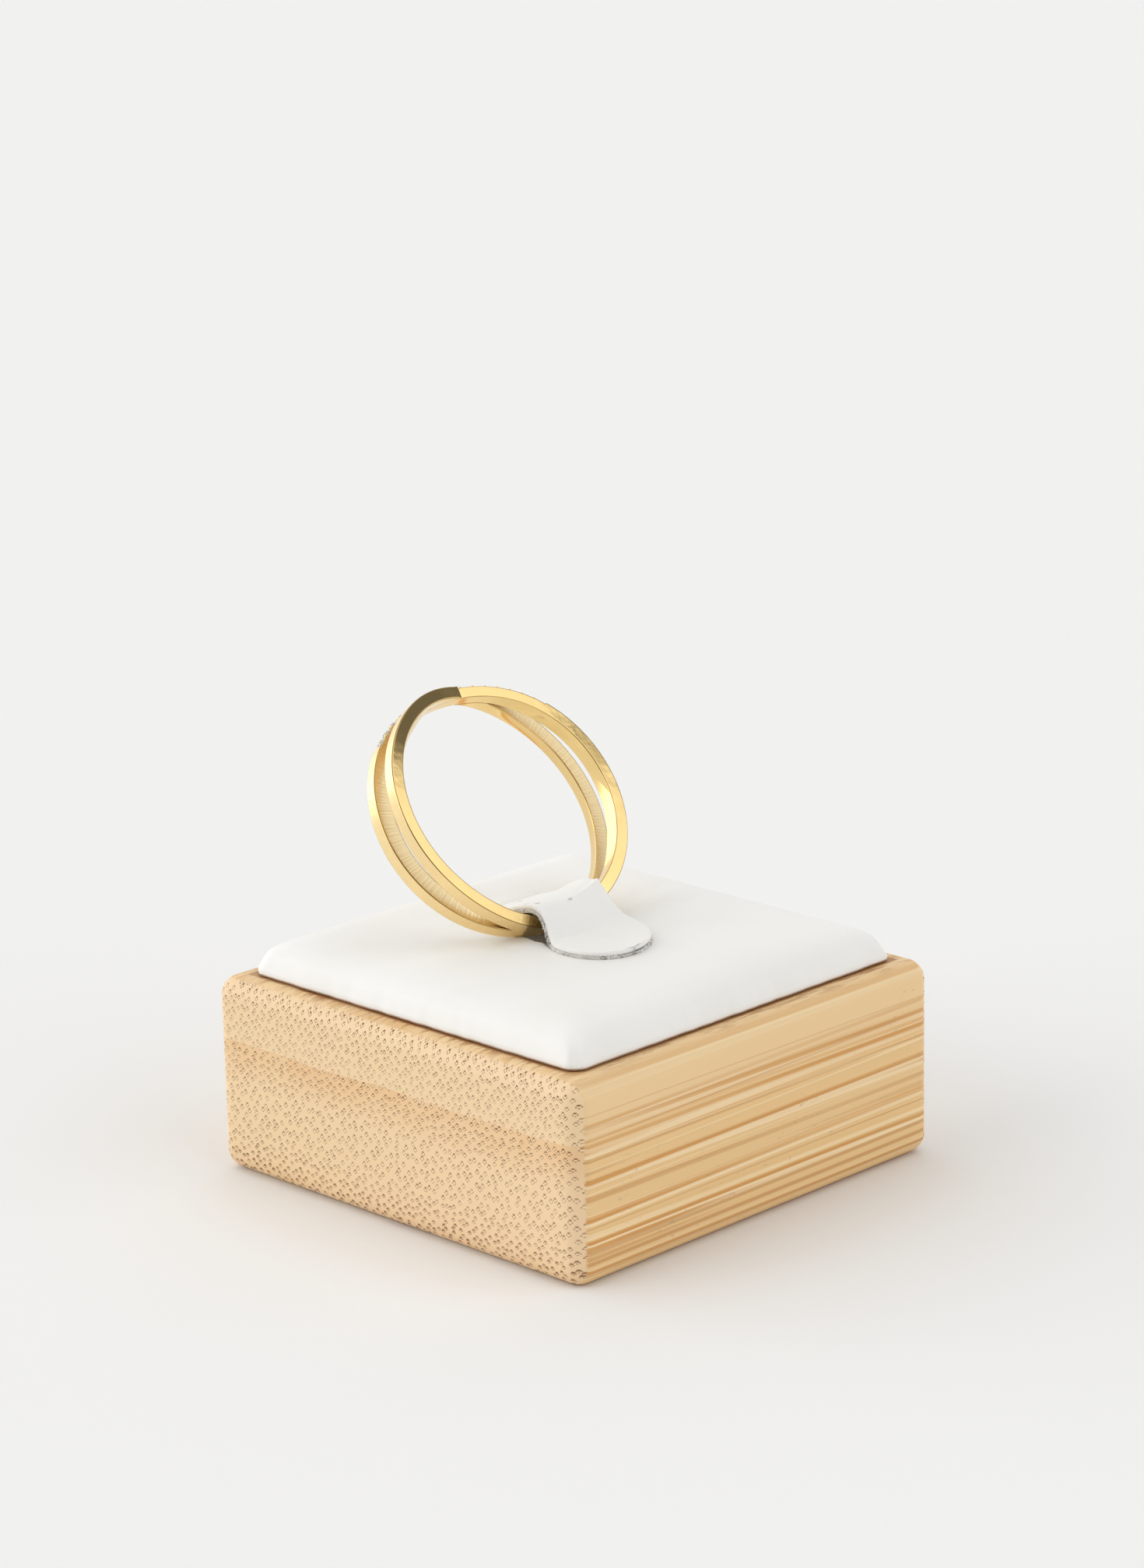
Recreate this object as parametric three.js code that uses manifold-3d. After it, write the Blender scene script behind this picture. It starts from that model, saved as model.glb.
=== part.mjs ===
// A ring of two crossing strands with a run of small stones, leaning back on a covered cushion
// that sits on a bamboo block. Millimetres, +Z up, the origin at the centre of the block's base.
// The block's end grain faces -Y and its long grain +X, and the ring's bore looks along +X.

import * as THREE from 'three';
import { mergeVertices } from 'three/addons/utils/BufferGeometryUtils.js';
import { RoundedBoxGeometry } from 'three/addons/geometries/RoundedBoxGeometry.js';
import Module from 'manifold-3d';

const wasm = await Module();
wasm.setup();

// Driving sizes: the block
const BLOCK_SIDE = 38;
const BLOCK_HEIGHT = 15.2;
const BLOCK_EDGE_RADIUS = 1.5;

// Driving sizes: the cushion
const PAD_MARGIN = 2; // bare wood left round the cushion
const PAD_HEIGHT = 3.05;
const PAD_HEM_HEIGHT = 0.5; // the upright edge below the crown
const PAD_CORNER_RADIUS = 1.2;
const POCKET_DEPTH = 0.92;
const POCKET_CLEARANCE = 0.5;

// Driving sizes: the tongue
const TONGUE_THICKNESS = 1;
const TONGUE_WIDTH = 6.6; // over the shank
const TONGUE_BACK = 8.4; // from the shank back to the root
const TONGUE_FRONT = 8.3; // from the shank forward to the tip
const TONGUE_SIDESTEP = -0.15; // how far it drifts sideways for each millimetre forward
const TONGUE_CENTRE_Y = -0.2; // where it crosses the shank
const TONGUE_CUP = 0.6; // how much its edges stand above its middle over the shank
const TONGUE_ROLL = 0.5; // how much its right edge stands above its middle, and its left below

// Driving sizes: the ring
const BORE_RADIUS = 9.2;
const BAND_THICKNESS = 1;
const STRAND_WIDTH = 1.14;
const STRAND_SWING = 1.4; // how far each strand's middle swings to either side
const STRAND_SNAP = 1.35; // how quickly the strands part at a crossing
const CROSSING_ANGLE = -8; // degrees from the top, positive towards -Y
const RING_LEAN = 39; // degrees that the ring leans back
const RING_TURN = -2.6; // degrees about the upright
const RING_FOOT_X = -0.69; // where the foot of its shank comes
const RING_CENTRE_Y = -0.78;

// Driving sizes: the run of stones on one strand
const STONE_COUNT = 16;
const STONE_DIAMETER = 0.8;
const STONE_PITCH = 5.7; // degrees
const STONE_RUN_CENTRE = -3.5; // degrees from the top, positive towards -Y
const STONE_RUN_DEPTH = 0.12; // how far the run is cut below the plain band
const BEAD_RADIUS = 0.13;

// Clearances
const SEAT_GAP = 0.3; // between the ring and what it rests on
const STONE_GAP = 0.03; // round a stone in its seat

// Steps of the curved shapes
const BAND_STEPS = 160;
const PAD_CORNER_STEPS = 6;
const TONGUE_STEPS = 30;

const BAND_RADIUS = BORE_RADIUS + BAND_THICKNESS;
const PAD_SIDE = BLOCK_SIDE - 2 * PAD_MARGIN;
const PAD_TOP = BLOCK_HEIGHT + PAD_HEIGHT;
const POCKET_FLOOR = PAD_TOP - POCKET_DEPTH;

const bamboo = new THREE.MeshStandardMaterial({ color: 0xddb27a, roughness: 0.6, metalness: 0 });
const leatherette = new THREE.MeshStandardMaterial({ color: 0xf1f0ec, roughness: 0.65, metalness: 0 });
const gold = new THREE.MeshStandardMaterial({ color: 0xe3b55c, roughness: 0.18, metalness: 1 });
const clear = new THREE.MeshStandardMaterial({ color: 0xf4f6f8, roughness: 0.05, metalness: 0 });

const rad = THREE.MathUtils.degToRad;

// A closed mesh from a list of corner points and a list of triangles
function closedGeometry(points, triangles) {
  const geometry = new THREE.BufferGeometry();
  geometry.setAttribute('position', new THREE.Float32BufferAttribute(points.flat(), 3));
  geometry.setIndex(triangles.flat());
  return geometry;
}

function solidOf(geometry) {
  const plain = geometry.clone();
  plain.deleteAttribute('normal');
  plain.deleteAttribute('uv');
  const merged = mergeVertices(plain, 1e-5);
  return new wasm.Manifold(new wasm.Mesh({
    numProp: 3,
    vertProperties: Float32Array.from(merged.attributes.position.array),
    triVerts: Uint32Array.from(merged.index.array),
  }));
}

function geometryOf(solid) {
  const mesh = solid.getMesh();
  const geometry = new THREE.BufferGeometry();
  geometry.setAttribute('position', new THREE.BufferAttribute(mesh.vertProperties, 3));
  geometry.setIndex(new THREE.BufferAttribute(mesh.triVerts, 1));
  return geometry;
}

function named(name, geometry, material) {
  geometry.computeVertexNormals();
  const mesh = new THREE.Mesh(geometry, material);
  mesh.name = name;
  return mesh;
}

// The ring is worked out about its own axis Z: angle 0 is the top of the ring and the axial
// distance grows towards the viewer.

function ringPoint(angle, radius, axial) {
  return [radius * Math.cos(angle), radius * Math.sin(angle), axial];
}

// The first strand is nearest the viewer on the ring's right side and carries the stones. It
// crosses to the far side where the sine of the angle from the crossing changes sign.
function strandAxial(angle) {
  const swing = -Math.sin(angle - rad(CROSSING_ANGLE));
  return STRAND_SWING * Math.tanh(STRAND_SNAP * swing) / Math.tanh(STRAND_SNAP);
}

// Each section of the band is one bar where the strands are joined and two bars where they have
// parted. The bars of both kinds start from the middle line, so the parting opens from one edge.
// A band grown by a clearance cuts room for the band.
function bandGeometry(grown = 0) {
  const points = [];
  const triangles = [];
  const joined = [];
  for (let i = 0; i < BAND_STEPS; i++) {
    const angle = 2 * Math.PI * i / BAND_STEPS;
    const reach = Math.abs(strandAxial(angle));
    const outer = reach + STRAND_WIDTH / 2 + grown;
    const inner = Math.max(0, reach - STRAND_WIDTH / 2 - grown);
    joined.push(inner === 0);
    for (const radius of [BORE_RADIUS - grown, BAND_RADIUS + grown]) {
      for (const axial of [-outer, -inner, inner, outer]) {
        points.push(ringPoint(angle, radius, axial));
      }
    }
  }
  // Corner k of section i: 0 to 3 in the bore, 4 to 7 outside, each from the far side to the near
  const corner = (i, k) => {
    const section = i % BAND_STEPS;
    const sameEdge = joined[section] && k % 4 === 2;
    return section * 8 + (sameEdge ? k - 1 : k);
  };
  const face = (a, b, c, d) => {
    if (a !== b && b !== c && c !== a) triangles.push([a, b, c]);
    if (a !== c && c !== d && d !== a) triangles.push([a, c, d]);
  };
  for (let i = 0; i < BAND_STEPS; i++) {
    const strip = (from, to) =>
      face(corner(i, from), corner(i, to), corner(i + 1, to), corner(i + 1, from));
    strip(4, 0);
    strip(5, 4);
    strip(0, 1);
    strip(7, 6);
    strip(2, 3);
    strip(3, 7);
    const parted = !(joined[i] && joined[(i + 1) % BAND_STEPS]);
    if (parted) {
      strip(1, 5);
      strip(6, 2);
    }
  }
  return closedGeometry(points, triangles);
}

// A bar of rectangular section that follows the first strand between two angles
function strandBar(fromAngle, toAngle, fromRadius, toRadius, width, steps) {
  const points = [];
  const triangles = [];
  for (let i = 0; i <= steps; i++) {
    const angle = fromAngle + (toAngle - fromAngle) * i / steps;
    const middle = strandAxial(angle);
    points.push(ringPoint(angle, fromRadius, middle - width / 2));
    points.push(ringPoint(angle, toRadius, middle - width / 2));
    points.push(ringPoint(angle, toRadius, middle + width / 2));
    points.push(ringPoint(angle, fromRadius, middle + width / 2));
  }
  for (let i = 0; i < steps; i++) {
    for (let k = 0; k < 4; k++) {
      const a = 4 * i + k;
      const b = 4 * i + (k + 1) % 4;
      triangles.push([a, b + 4, b], [a, a + 4, b + 4]);
    }
  }
  const last = 4 * steps;
  triangles.push([0, 1, 2], [0, 2, 3]);
  triangles.push([last, last + 2, last + 1], [last, last + 3, last + 2]);
  return closedGeometry(points, triangles);
}

// Angles of the stones, evenly pitched, and of the bead rows between and beyond them
function stoneAngle(index) {
  return rad(STONE_RUN_CENTRE + STONE_PITCH * (index - (STONE_COUNT - 1) / 2));
}

// Turns and moves a shape that stands on the Z axis so that it stands on the strand, with its
// foot at the given radius
function placeOnStrand(object, angle, radius, sideways) {
  const foot = ringPoint(angle, radius, strandAxial(angle) + sideways);
  object.position.set(...foot);
  object.rotation.set(0, Math.PI / 2, 0);
  object.rotation.order = 'ZYX';
  object.rotation.z = angle;
  object.updateMatrix();
}

function placedSolid(geometry, angle, radius, sideways) {
  const holder = new THREE.Object3D();
  placeOnStrand(holder, angle, radius, sideways);
  return solidOf(geometry.clone().applyMatrix4(holder.matrix));
}

// A round cut stone about Z: a flat table, eight crown facets, a thin girdle, eight pavilion
// facets and a point below. The girdle's upper edge is at height 0.
const STONE_SIDES = 8;
const STONE_FORM = {
  tableRadius: 0.3,
  tableHeight: 0.14,
  girdleHeight: 0.05,
  pavilionDepth: 0.43,
};

function stoneGeometry(diameter) {
  const profile = [
    new THREE.Vector2(0, -STONE_FORM.pavilionDepth * diameter),
    new THREE.Vector2(diameter / 2, -STONE_FORM.girdleHeight * diameter),
    new THREE.Vector2(diameter / 2, 0),
    new THREE.Vector2(STONE_FORM.tableRadius * diameter, STONE_FORM.tableHeight * diameter),
    new THREE.Vector2(0, STONE_FORM.tableHeight * diameter),
  ];
  const turned = new THREE.LatheGeometry(profile, STONE_SIDES);
  turned.rotateX(Math.PI / 2);
  return turned;
}

// The seat is the stone's own shape, larger by the gap all round and open to the outside
function stoneSeatGeometry() {
  const room = STONE_DIAMETER / 2 + STONE_GAP;
  const profile = [
    new THREE.Vector2(0, -STONE_FORM.pavilionDepth * STONE_DIAMETER - 2 * STONE_GAP),
    new THREE.Vector2(room, -STONE_FORM.girdleHeight * STONE_DIAMETER - STONE_GAP),
    new THREE.Vector2(room, BAND_THICKNESS),
    new THREE.Vector2(0, BAND_THICKNESS),
  ];
  const turned = new THREE.LatheGeometry(profile, STONE_SIDES);
  turned.rotateX(Math.PI / 2);
  return turned;
}

const RUN_RADIUS = BAND_RADIUS - STONE_RUN_DEPTH;
const STONE_RADIUS = RUN_RADIUS + 0.01; // the girdles lie level with the run's floor
const BEAD_OFFSET = STRAND_WIDTH / 2 - BEAD_RADIUS - 0.02;

function ringBand() {
  const half = rad(STONE_PITCH) * STONE_COUNT / 2;
  const centre = rad(STONE_RUN_CENTRE);
  const steps = Math.round(BAND_STEPS * half / Math.PI);
  const run = strandBar(centre - half, centre + half, RUN_RADIUS, BAND_RADIUS + 1,
    STRAND_WIDTH + 0.02, steps);
  let band = solidOf(bandGeometry()).subtract(solidOf(run));
  const seat = stoneSeatGeometry();
  const bead = new THREE.SphereGeometry(BEAD_RADIUS, 8, 6);
  for (let i = 0; i < STONE_COUNT; i++) {
    band = band.subtract(placedSolid(seat, stoneAngle(i), STONE_RADIUS, 0));
  }
  for (let i = 0; i < STONE_COUNT - 1; i++) {
    const between = (stoneAngle(i) + stoneAngle(i + 1)) / 2;
    for (const side of [-1, 1]) {
      band = band.add(placedSolid(bead, between, RUN_RADIUS, side * BEAD_OFFSET));
    }
  }
  return geometryOf(band);
}

// The cushion's outline: a square with rounded corners, as a shape
function roundedSquare(side, radius) {
  const reach = side / 2;
  const shape = new THREE.Shape();
  shape.moveTo(-reach + radius, -reach);
  shape.lineTo(reach - radius, -reach);
  shape.absarc(reach - radius, -reach + radius, radius, -Math.PI / 2, 0);
  shape.lineTo(reach, reach - radius);
  shape.absarc(reach - radius, reach - radius, radius, 0, Math.PI / 2);
  shape.lineTo(-reach + radius, reach);
  shape.absarc(-reach + radius, reach - radius, radius, Math.PI / 2, Math.PI);
  shape.lineTo(-reach, -reach + radius);
  shape.absarc(-reach + radius, -reach + radius, radius, Math.PI, 1.5 * Math.PI);
  return shape;
}

// The crown rises steeply at the rim and is nearly flat in the middle. Each row is a ring of the
// outline: its share of the outline's size and of the crown's height.
const PAD_CROWN = [
  { share: 1.0, height: 0.0 },
  { share: 0.985, height: 0.3 },
  { share: 0.955, height: 0.55 },
  { share: 0.9, height: 0.76 },
  { share: 0.8, height: 0.91 },
  { share: 0.66, height: 0.98 },
  { share: 0.5, height: 1.0 },
];

function padGeometry() {
  const outline = roundedSquare(PAD_SIDE, PAD_CORNER_RADIUS).getPoints(PAD_CORNER_STEPS);
  const hem = BLOCK_HEIGHT + PAD_HEM_HEIGHT;
  const rise = PAD_TOP - hem;
  const rings = [{ share: 1, z: BLOCK_HEIGHT }];
  for (const row of PAD_CROWN) {
    rings.push({ share: row.share, z: hem + rise * row.height });
  }
  const points = [];
  for (const ring of rings) {
    for (const p of outline) points.push([p.x * ring.share, p.y * ring.share, ring.z]);
  }
  const count = outline.length;
  const bottom = points.push([0, 0, BLOCK_HEIGHT]) - 1;
  const top = points.push([0, 0, PAD_TOP]) - 1;
  const triangles = [];
  for (let i = 0; i < count; i++) {
    const next = (i + 1) % count;
    for (let k = 0; k < rings.length - 1; k++) {
      const a = k * count + i;
      const b = k * count + next;
      triangles.push([a, b, b + count], [a, b + count, a + count]);
    }
    const lastRing = (rings.length - 1) * count;
    triangles.push([bottom, next, i], [top, lastRing + i, lastRing + next]);
  }
  return closedGeometry(points, triangles);
}

// Where the ring sits: its lowest edge stands over the pocket's floor by a little more than the
// corners of its dent reach, so the dent leaves the floor whole
const lean = rad(RING_LEAN);
const DENT_REACH = Math.SQRT2 * SEAT_GAP + 0.01;

function ringSeat() {
  let lowest = Infinity;
  for (let i = 0; i < BAND_STEPS; i++) {
    const angle = 2 * Math.PI * i / BAND_STEPS;
    const far = -Math.abs(strandAxial(angle)) - STRAND_WIDTH / 2;
    lowest = Math.min(lowest, BAND_RADIUS * Math.cos(angle) * Math.cos(lean) + far * Math.sin(lean));
  }
  return new THREE.Vector3(
    RING_FOOT_X - BAND_RADIUS * Math.sin(lean) + STRAND_WIDTH / 2 * Math.cos(lean),
    RING_CENTRE_Y,
    POCKET_FLOOR + DENT_REACH - lowest,
  );
}

const ringPlace = ringSeat();

// The lower shank's two near edges, in the model's own axes: the bore's edge that the tongue
// runs over and the outside edge that it comes down past
function shankEdge(radius) {
  const axial = STRAND_WIDTH / 2;
  return {
    x: ringPlace.x + radius * Math.sin(lean) + axial * Math.cos(lean),
    z: ringPlace.z - radius * Math.cos(lean) + axial * Math.sin(lean),
  };
}

// The tongue's course seen from the side, from its root to its tip. along: -1 is the root, 0 the
// shank and 1 the tip. lift: the height of its underside, 0 on the pocket's floor and 1 just
// clear over the shank. cup: the share of the cup and roll. width: the share of the full width.
const TONGUE_COURSE = [
  { along: -1.0, lift: 0.0, cup: 0.0, width: 1.1 },
  { along: -0.88, lift: 0.0, cup: 0.0, width: 1.1 },
  { along: -0.72, lift: 0.26, cup: 0.1, width: 1.08 },
  { along: -0.52, lift: 0.56, cup: 0.3, width: 1.05 },
  { along: -0.3, lift: 0.9, cup: 0.7, width: 1.02 },
  { along: -0.08, lift: 1.13, cup: 1.0, width: 1.0 },
  { along: 0.05, lift: 1.12, cup: 1.0, width: 1.0 },
  { along: 0.12, lift: 0.93, cup: 1.0, width: 1.02 },
  { along: 0.18, lift: 0.64, cup: 1.0, width: 1.06 },
  { along: 0.24, lift: 0.41, cup: 0.75, width: 1.12 },
  { along: 0.31, lift: 0.26, cup: 0.35, width: 1.18 },
  { along: 0.41, lift: 0.2, cup: 0.1, width: 1.24 },
  { along: 0.55, lift: 0.19, cup: 0.0, width: 1.22 },
  { along: 0.7, lift: 0.19, cup: 0.0, width: 1.12 },
  { along: 0.83, lift: 0.19, cup: 0.0, width: 0.92 },
  { along: 0.92, lift: 0.19, cup: 0.0, width: 0.68 },
  { along: 0.98, lift: 0.19, cup: 0.0, width: 0.36 },
  { along: 1.0, lift: 0.19, cup: 0.0, width: 0.14 },
];

function tongueStations() {
  const edge = shankEdge(BORE_RADIUS);
  const clear = edge.z + SEAT_GAP - POCKET_FLOOR;
  const curve = new THREE.CatmullRomCurve3(TONGUE_COURSE.map((row) => {
    const reach = row.along < 0 ? TONGUE_BACK : TONGUE_FRONT;
    return new THREE.Vector3(edge.x + row.along * reach, 0, POCKET_FLOOR + row.lift * clear);
  }), false, 'centripetal');
  const places = curve.getPoints(TONGUE_STEPS);
  for (const place of places) place.z = Math.max(place.z, POCKET_FLOOR);
  const last = TONGUE_COURSE.length - 1;
  const stations = places.map((place, i) => {
    const before = places[Math.max(i - 1, 0)];
    const after = places[Math.min(i + 1, TONGUE_STEPS)];
    const tangent = after.clone().sub(before).normalize();
    const share = last * i / TONGUE_STEPS;
    const k = Math.min(last - 1, Math.floor(share));
    const row = TONGUE_COURSE[k];
    const next = TONGUE_COURSE[k + 1];
    const mix = (name) => THREE.MathUtils.lerp(row[name], next[name], share - k);
    return { place, tangent, cup: mix('cup'), width: mix('width') };
  });
  return { stations, edge };
}

function tongueGeometry() {
  const { stations, edge } = tongueStations();
  const across = [-1, -0.7, -0.35, 0, 0.35, 0.7, 1];
  const points = [];
  const triangles = [];
  const columns = across.length;
  for (const { place, tangent, cup, width } of stations) {
    const middleY = TONGUE_CENTRE_Y + TONGUE_SIDESTEP * (place.x - edge.x);
    for (const layer of [0, TONGUE_THICKNESS]) {
      for (const share of across) {
        const raised = cup * (TONGUE_CUP * share * share + TONGUE_ROLL * share);
        points.push([
          place.x - tangent.z * layer,
          middleY + share * width * TONGUE_WIDTH / 2,
          place.z + raised + tangent.x * layer,
        ]);
      }
    }
  }
  const at = (i, layer, k) => (i * 2 + layer) * columns + k;
  const last = stations.length - 1;
  for (let i = 0; i < last; i++) {
    for (let k = 0; k < columns - 1; k++) {
      triangles.push([at(i, 1, k), at(i + 1, 1, k), at(i + 1, 1, k + 1)]);
      triangles.push([at(i, 1, k), at(i + 1, 1, k + 1), at(i, 1, k + 1)]);
      triangles.push([at(i, 0, k), at(i + 1, 0, k + 1), at(i + 1, 0, k)]);
      triangles.push([at(i, 0, k), at(i, 0, k + 1), at(i + 1, 0, k + 1)]);
    }
    for (const [k, flip] of [[0, false], [columns - 1, true]]) {
      const quad = [at(i, 0, k), at(i + 1, 0, k), at(i + 1, 1, k), at(i, 1, k)];
      if (flip) quad.reverse();
      triangles.push([quad[0], quad[1], quad[2]], [quad[0], quad[2], quad[3]]);
    }
  }
  for (const [i, flip] of [[0, false], [last, true]]) {
    for (let k = 0; k < columns - 1; k++) {
      const quad = [at(i, 0, k), at(i, 1, k), at(i, 1, k + 1), at(i, 0, k + 1)];
      if (flip) quad.reverse();
      triangles.push([quad[0], quad[1], quad[2]], [quad[0], quad[2], quad[3]]);
    }
  }
  return closedGeometry(points, triangles);
}

// The pocket has the tongue's outline from above, larger by the clearance
function pocketGeometry() {
  const { stations, edge } = tongueStations();
  const left = [];
  const right = [];
  for (const { place, width } of stations) {
    const reach = width * TONGUE_WIDTH / 2 + POCKET_CLEARANCE;
    const forward = (place.x - edge.x) / TONGUE_FRONT;
    const x = place.x + POCKET_CLEARANCE * Math.max(forward, 0);
    const middleY = TONGUE_CENTRE_Y + TONGUE_SIDESTEP * (x - edge.x);
    left.push(new THREE.Vector2(x, middleY - reach));
    right.push(new THREE.Vector2(x, middleY + reach));
  }
  left[0].x -= SEAT_GAP;
  right[0].x -= SEAT_GAP;
  const outline = new THREE.Shape([...left, ...right.reverse()]);
  const cutter = new THREE.ExtrudeGeometry(outline, {
    depth: POCKET_DEPTH + PAD_HEIGHT,
    bevelEnabled: false,
  });
  cutter.translate(0, 0, POCKET_FLOOR);
  return cutter;
}

const blockGeometry = new RoundedBoxGeometry(BLOCK_SIDE, BLOCK_SIDE, BLOCK_HEIGHT, 3, BLOCK_EDGE_RADIUS);
blockGeometry.translate(0, 0, BLOCK_HEIGHT / 2);

const object = new THREE.Group();

// The ring's own frame: turned about the upright, leant back, with angle 0 pointing up
const ringTurn = new THREE.Group();
ringTurn.position.copy(ringPlace);
ringTurn.rotation.z = rad(RING_TURN);
const ringLean = new THREE.Group();
ringLean.rotation.y = Math.PI / 2 - lean;
const ring = new THREE.Group();
ring.rotation.z = Math.PI;
ringTurn.add(ringLean);
ringLean.add(ring);
object.add(ringTurn);
object.updateMatrixWorld(true);

// The cushion gives way under the ring, as a dent that clears the band by the gap
function cushion() {
  const dent = bandGeometry(SEAT_GAP).applyMatrix4(ring.matrixWorld);
  const pad = solidOf(padGeometry()).subtract(solidOf(pocketGeometry())).subtract(solidOf(dent));
  return geometryOf(pad);
}

object.add(named('bamboo_block', blockGeometry, bamboo));
object.add(named('pad', cushion(), leatherette));
object.add(named('tongue', tongueGeometry(), leatherette));

ring.add(named('ring_band', ringBand(), gold));
for (let i = 0; i < STONE_COUNT; i++) {
  const stone = named(`stone_${String(i + 1).padStart(2, '0')}`, stoneGeometry(STONE_DIAMETER), clear);
  placeOnStrand(stone, stoneAngle(i), STONE_RADIUS, 0);
  ring.add(stone);
}

export default object;
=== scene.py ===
"""Looks of a gold ring of two crossing strands on its padded bamboo display block.

Lengths are metres. +Z is up, the block's base centre is the origin, its end grain faces -Y and its
long grain +X. A ring angle is counted from the top of the ring, positive towards -Y.
"""

import bmesh
import bpy
import numpy as np
from mathutils import Matrix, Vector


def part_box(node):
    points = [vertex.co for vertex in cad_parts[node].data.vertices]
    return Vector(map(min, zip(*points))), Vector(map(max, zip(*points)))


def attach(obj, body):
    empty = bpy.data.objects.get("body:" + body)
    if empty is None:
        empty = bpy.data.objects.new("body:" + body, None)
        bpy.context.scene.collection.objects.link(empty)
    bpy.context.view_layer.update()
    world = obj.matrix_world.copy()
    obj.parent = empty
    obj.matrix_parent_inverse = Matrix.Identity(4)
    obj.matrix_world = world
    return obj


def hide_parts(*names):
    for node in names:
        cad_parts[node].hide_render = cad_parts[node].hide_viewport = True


bl_info = {
    "name": "Crossed Ring on a Block",
    "version": (1, 0, 0),
    "blender": (4, 5, 0),
    "location": "View3D > Sidebar > Ring",
    "description": "Adds a ring of two crossing strands, its cushion, its bamboo block and a studio",
    "category": "Add Mesh",
}

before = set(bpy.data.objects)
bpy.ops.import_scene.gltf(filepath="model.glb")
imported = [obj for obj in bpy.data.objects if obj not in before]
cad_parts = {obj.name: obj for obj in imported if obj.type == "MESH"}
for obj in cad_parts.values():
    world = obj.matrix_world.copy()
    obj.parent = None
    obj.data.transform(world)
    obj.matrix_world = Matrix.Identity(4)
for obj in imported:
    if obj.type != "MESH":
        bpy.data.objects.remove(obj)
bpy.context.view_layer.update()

MM = 0.001
ROOT = "root"
# Distance below which the points of neighbouring faces are joined
WELD = 1e-7
BLOCK_LOW, BLOCK_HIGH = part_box("bamboo_block")
PAD_LOW, PAD_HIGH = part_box("pad")
STONE_NODES = sorted(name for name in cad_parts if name.startswith("stone_"))


def length(name, description, default):
    """A length that a user can change, in metres."""
    return bpy.props.FloatProperty(
        name=name, description=description, default=default, unit="LENGTH", precision=5)


def tilt(name, description, degrees):
    """An angle that a user can change."""
    return bpy.props.FloatProperty(
        name=name, description=description, default=np.radians(degrees), unit="ROTATION")


def colour(name, description, default):
    """A linear colour that a user can change."""
    return bpy.props.FloatVectorProperty(
        name=name, description=description, default=default, size=3, subtype="COLOR",
        min=0.0, max=1.0)


class RingSizes(bpy.types.PropertyGroup):
    """Sizes and place of the ring."""

    bore_radius: length("Bore radius", "Radius inside the ring", 9.2 * MM)
    band_thickness: length("Band thickness", "From the bore to the outside", 1.0 * MM)
    strand_width: length("Strand width", "Width of each strand", 1.14 * MM)
    strand_swing: length("Strand swing", "How far a strand's middle swings aside", 1.4 * MM)
    strand_snap: bpy.props.FloatProperty(
        name="Strand snap", description="How quickly the strands part at a crossing", default=1.35)
    edge_round: length("Edge round", "Radius of the polished edges", 0.09 * MM)
    comfort: length("Comfort", "How much the bore swells towards the slot", 0.4 * MM)
    comfort_right: length("Comfort, right", "The same on the ring's right side", 0.2 * MM)
    crossing: tilt("Crossing angle", "Where the strands cross, from the top", -8)
    lean: tilt("Lean", "How far the ring leans back", 39)
    turn: tilt("Turn", "How far the ring is turned about the upright", -2.6)
    foot_x: length("Foot", "Where the foot of the shank comes", -0.69 * MM)
    centre_y: length("Centre", "The ring's middle, sideways", -0.78 * MM)
    seat_gap: length("Seat gap", "Between the ring and the pocket's floor", 0.3 * MM)
    stone_diameter: length("Stone diameter", "Girdle of each stone", 0.8 * MM)
    stone_pitch: tilt("Stone pitch", "Angle from stone to stone", 5.7)
    run_centre: tilt("Run centre", "Middle of the run of stones, from the top", -3.5)
    run_depth: length("Run depth", "How far the run lies below the plain band", 0.12 * MM)
    bead_radius: length("Bead radius", "Size of the beads that hold the stones", 0.13 * MM)


class StandSizes(bpy.types.PropertyGroup):
    """Sizes of the block, the cushion and its tongue."""

    block_edge: length("Block edge", "Radius of the block's edges", 1.5 * MM)
    hem_height: length("Hem height", "Upright edge below the cushion's crown", 0.5 * MM)
    corner_radius: length("Corner radius", "Radius of the cushion's corners", 1.2 * MM)
    pocket_depth: length("Pocket depth", "Depth of the pocket that the tongue left", 0.92 * MM)
    root_overlap: length("Root overlap", "How far the tongue's root stays joined", 1.1 * MM)
    pocket_clearance: length("Pocket clearance", "Between the pocket and the tongue", 0.5 * MM)
    tongue_stack: length("Tongue stack", "Height of the tongue's top over its course", 1.0 * MM)
    skin_thickness: length("Skin thickness", "The white skin of the tongue", 0.34 * MM)
    backing_thickness: length("Backing thickness", "The rough backing below it", 0.3 * MM)
    tongue_width: length("Tongue width", "Width over the shank", 6.6 * MM)
    tongue_back: length("Tongue back", "From the shank back to the root", 8.4 * MM)
    tongue_front: length("Tongue front", "From the shank forward to the tip", 8.3 * MM)
    tongue_sidestep: bpy.props.FloatProperty(
        name="Tongue sidestep", description="Sideways drift for each unit forward", default=-0.15)
    tongue_centre_y: length("Tongue centre", "Where it crosses the shank", -0.2 * MM)
    tongue_cup: length("Tongue cup", "How much its edges stand above its middle", 0.38 * MM)
    tongue_roll: length("Tongue roll", "How much its right edge stands above its middle", 0.28 * MM)
    drape_gap: length("Drape gap", "Between the shank and the tongue over it", 0.12 * MM)
    tongue_trim: length("Tongue trim", "Cut off its right edge over the shank", 0.35 * MM)


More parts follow.
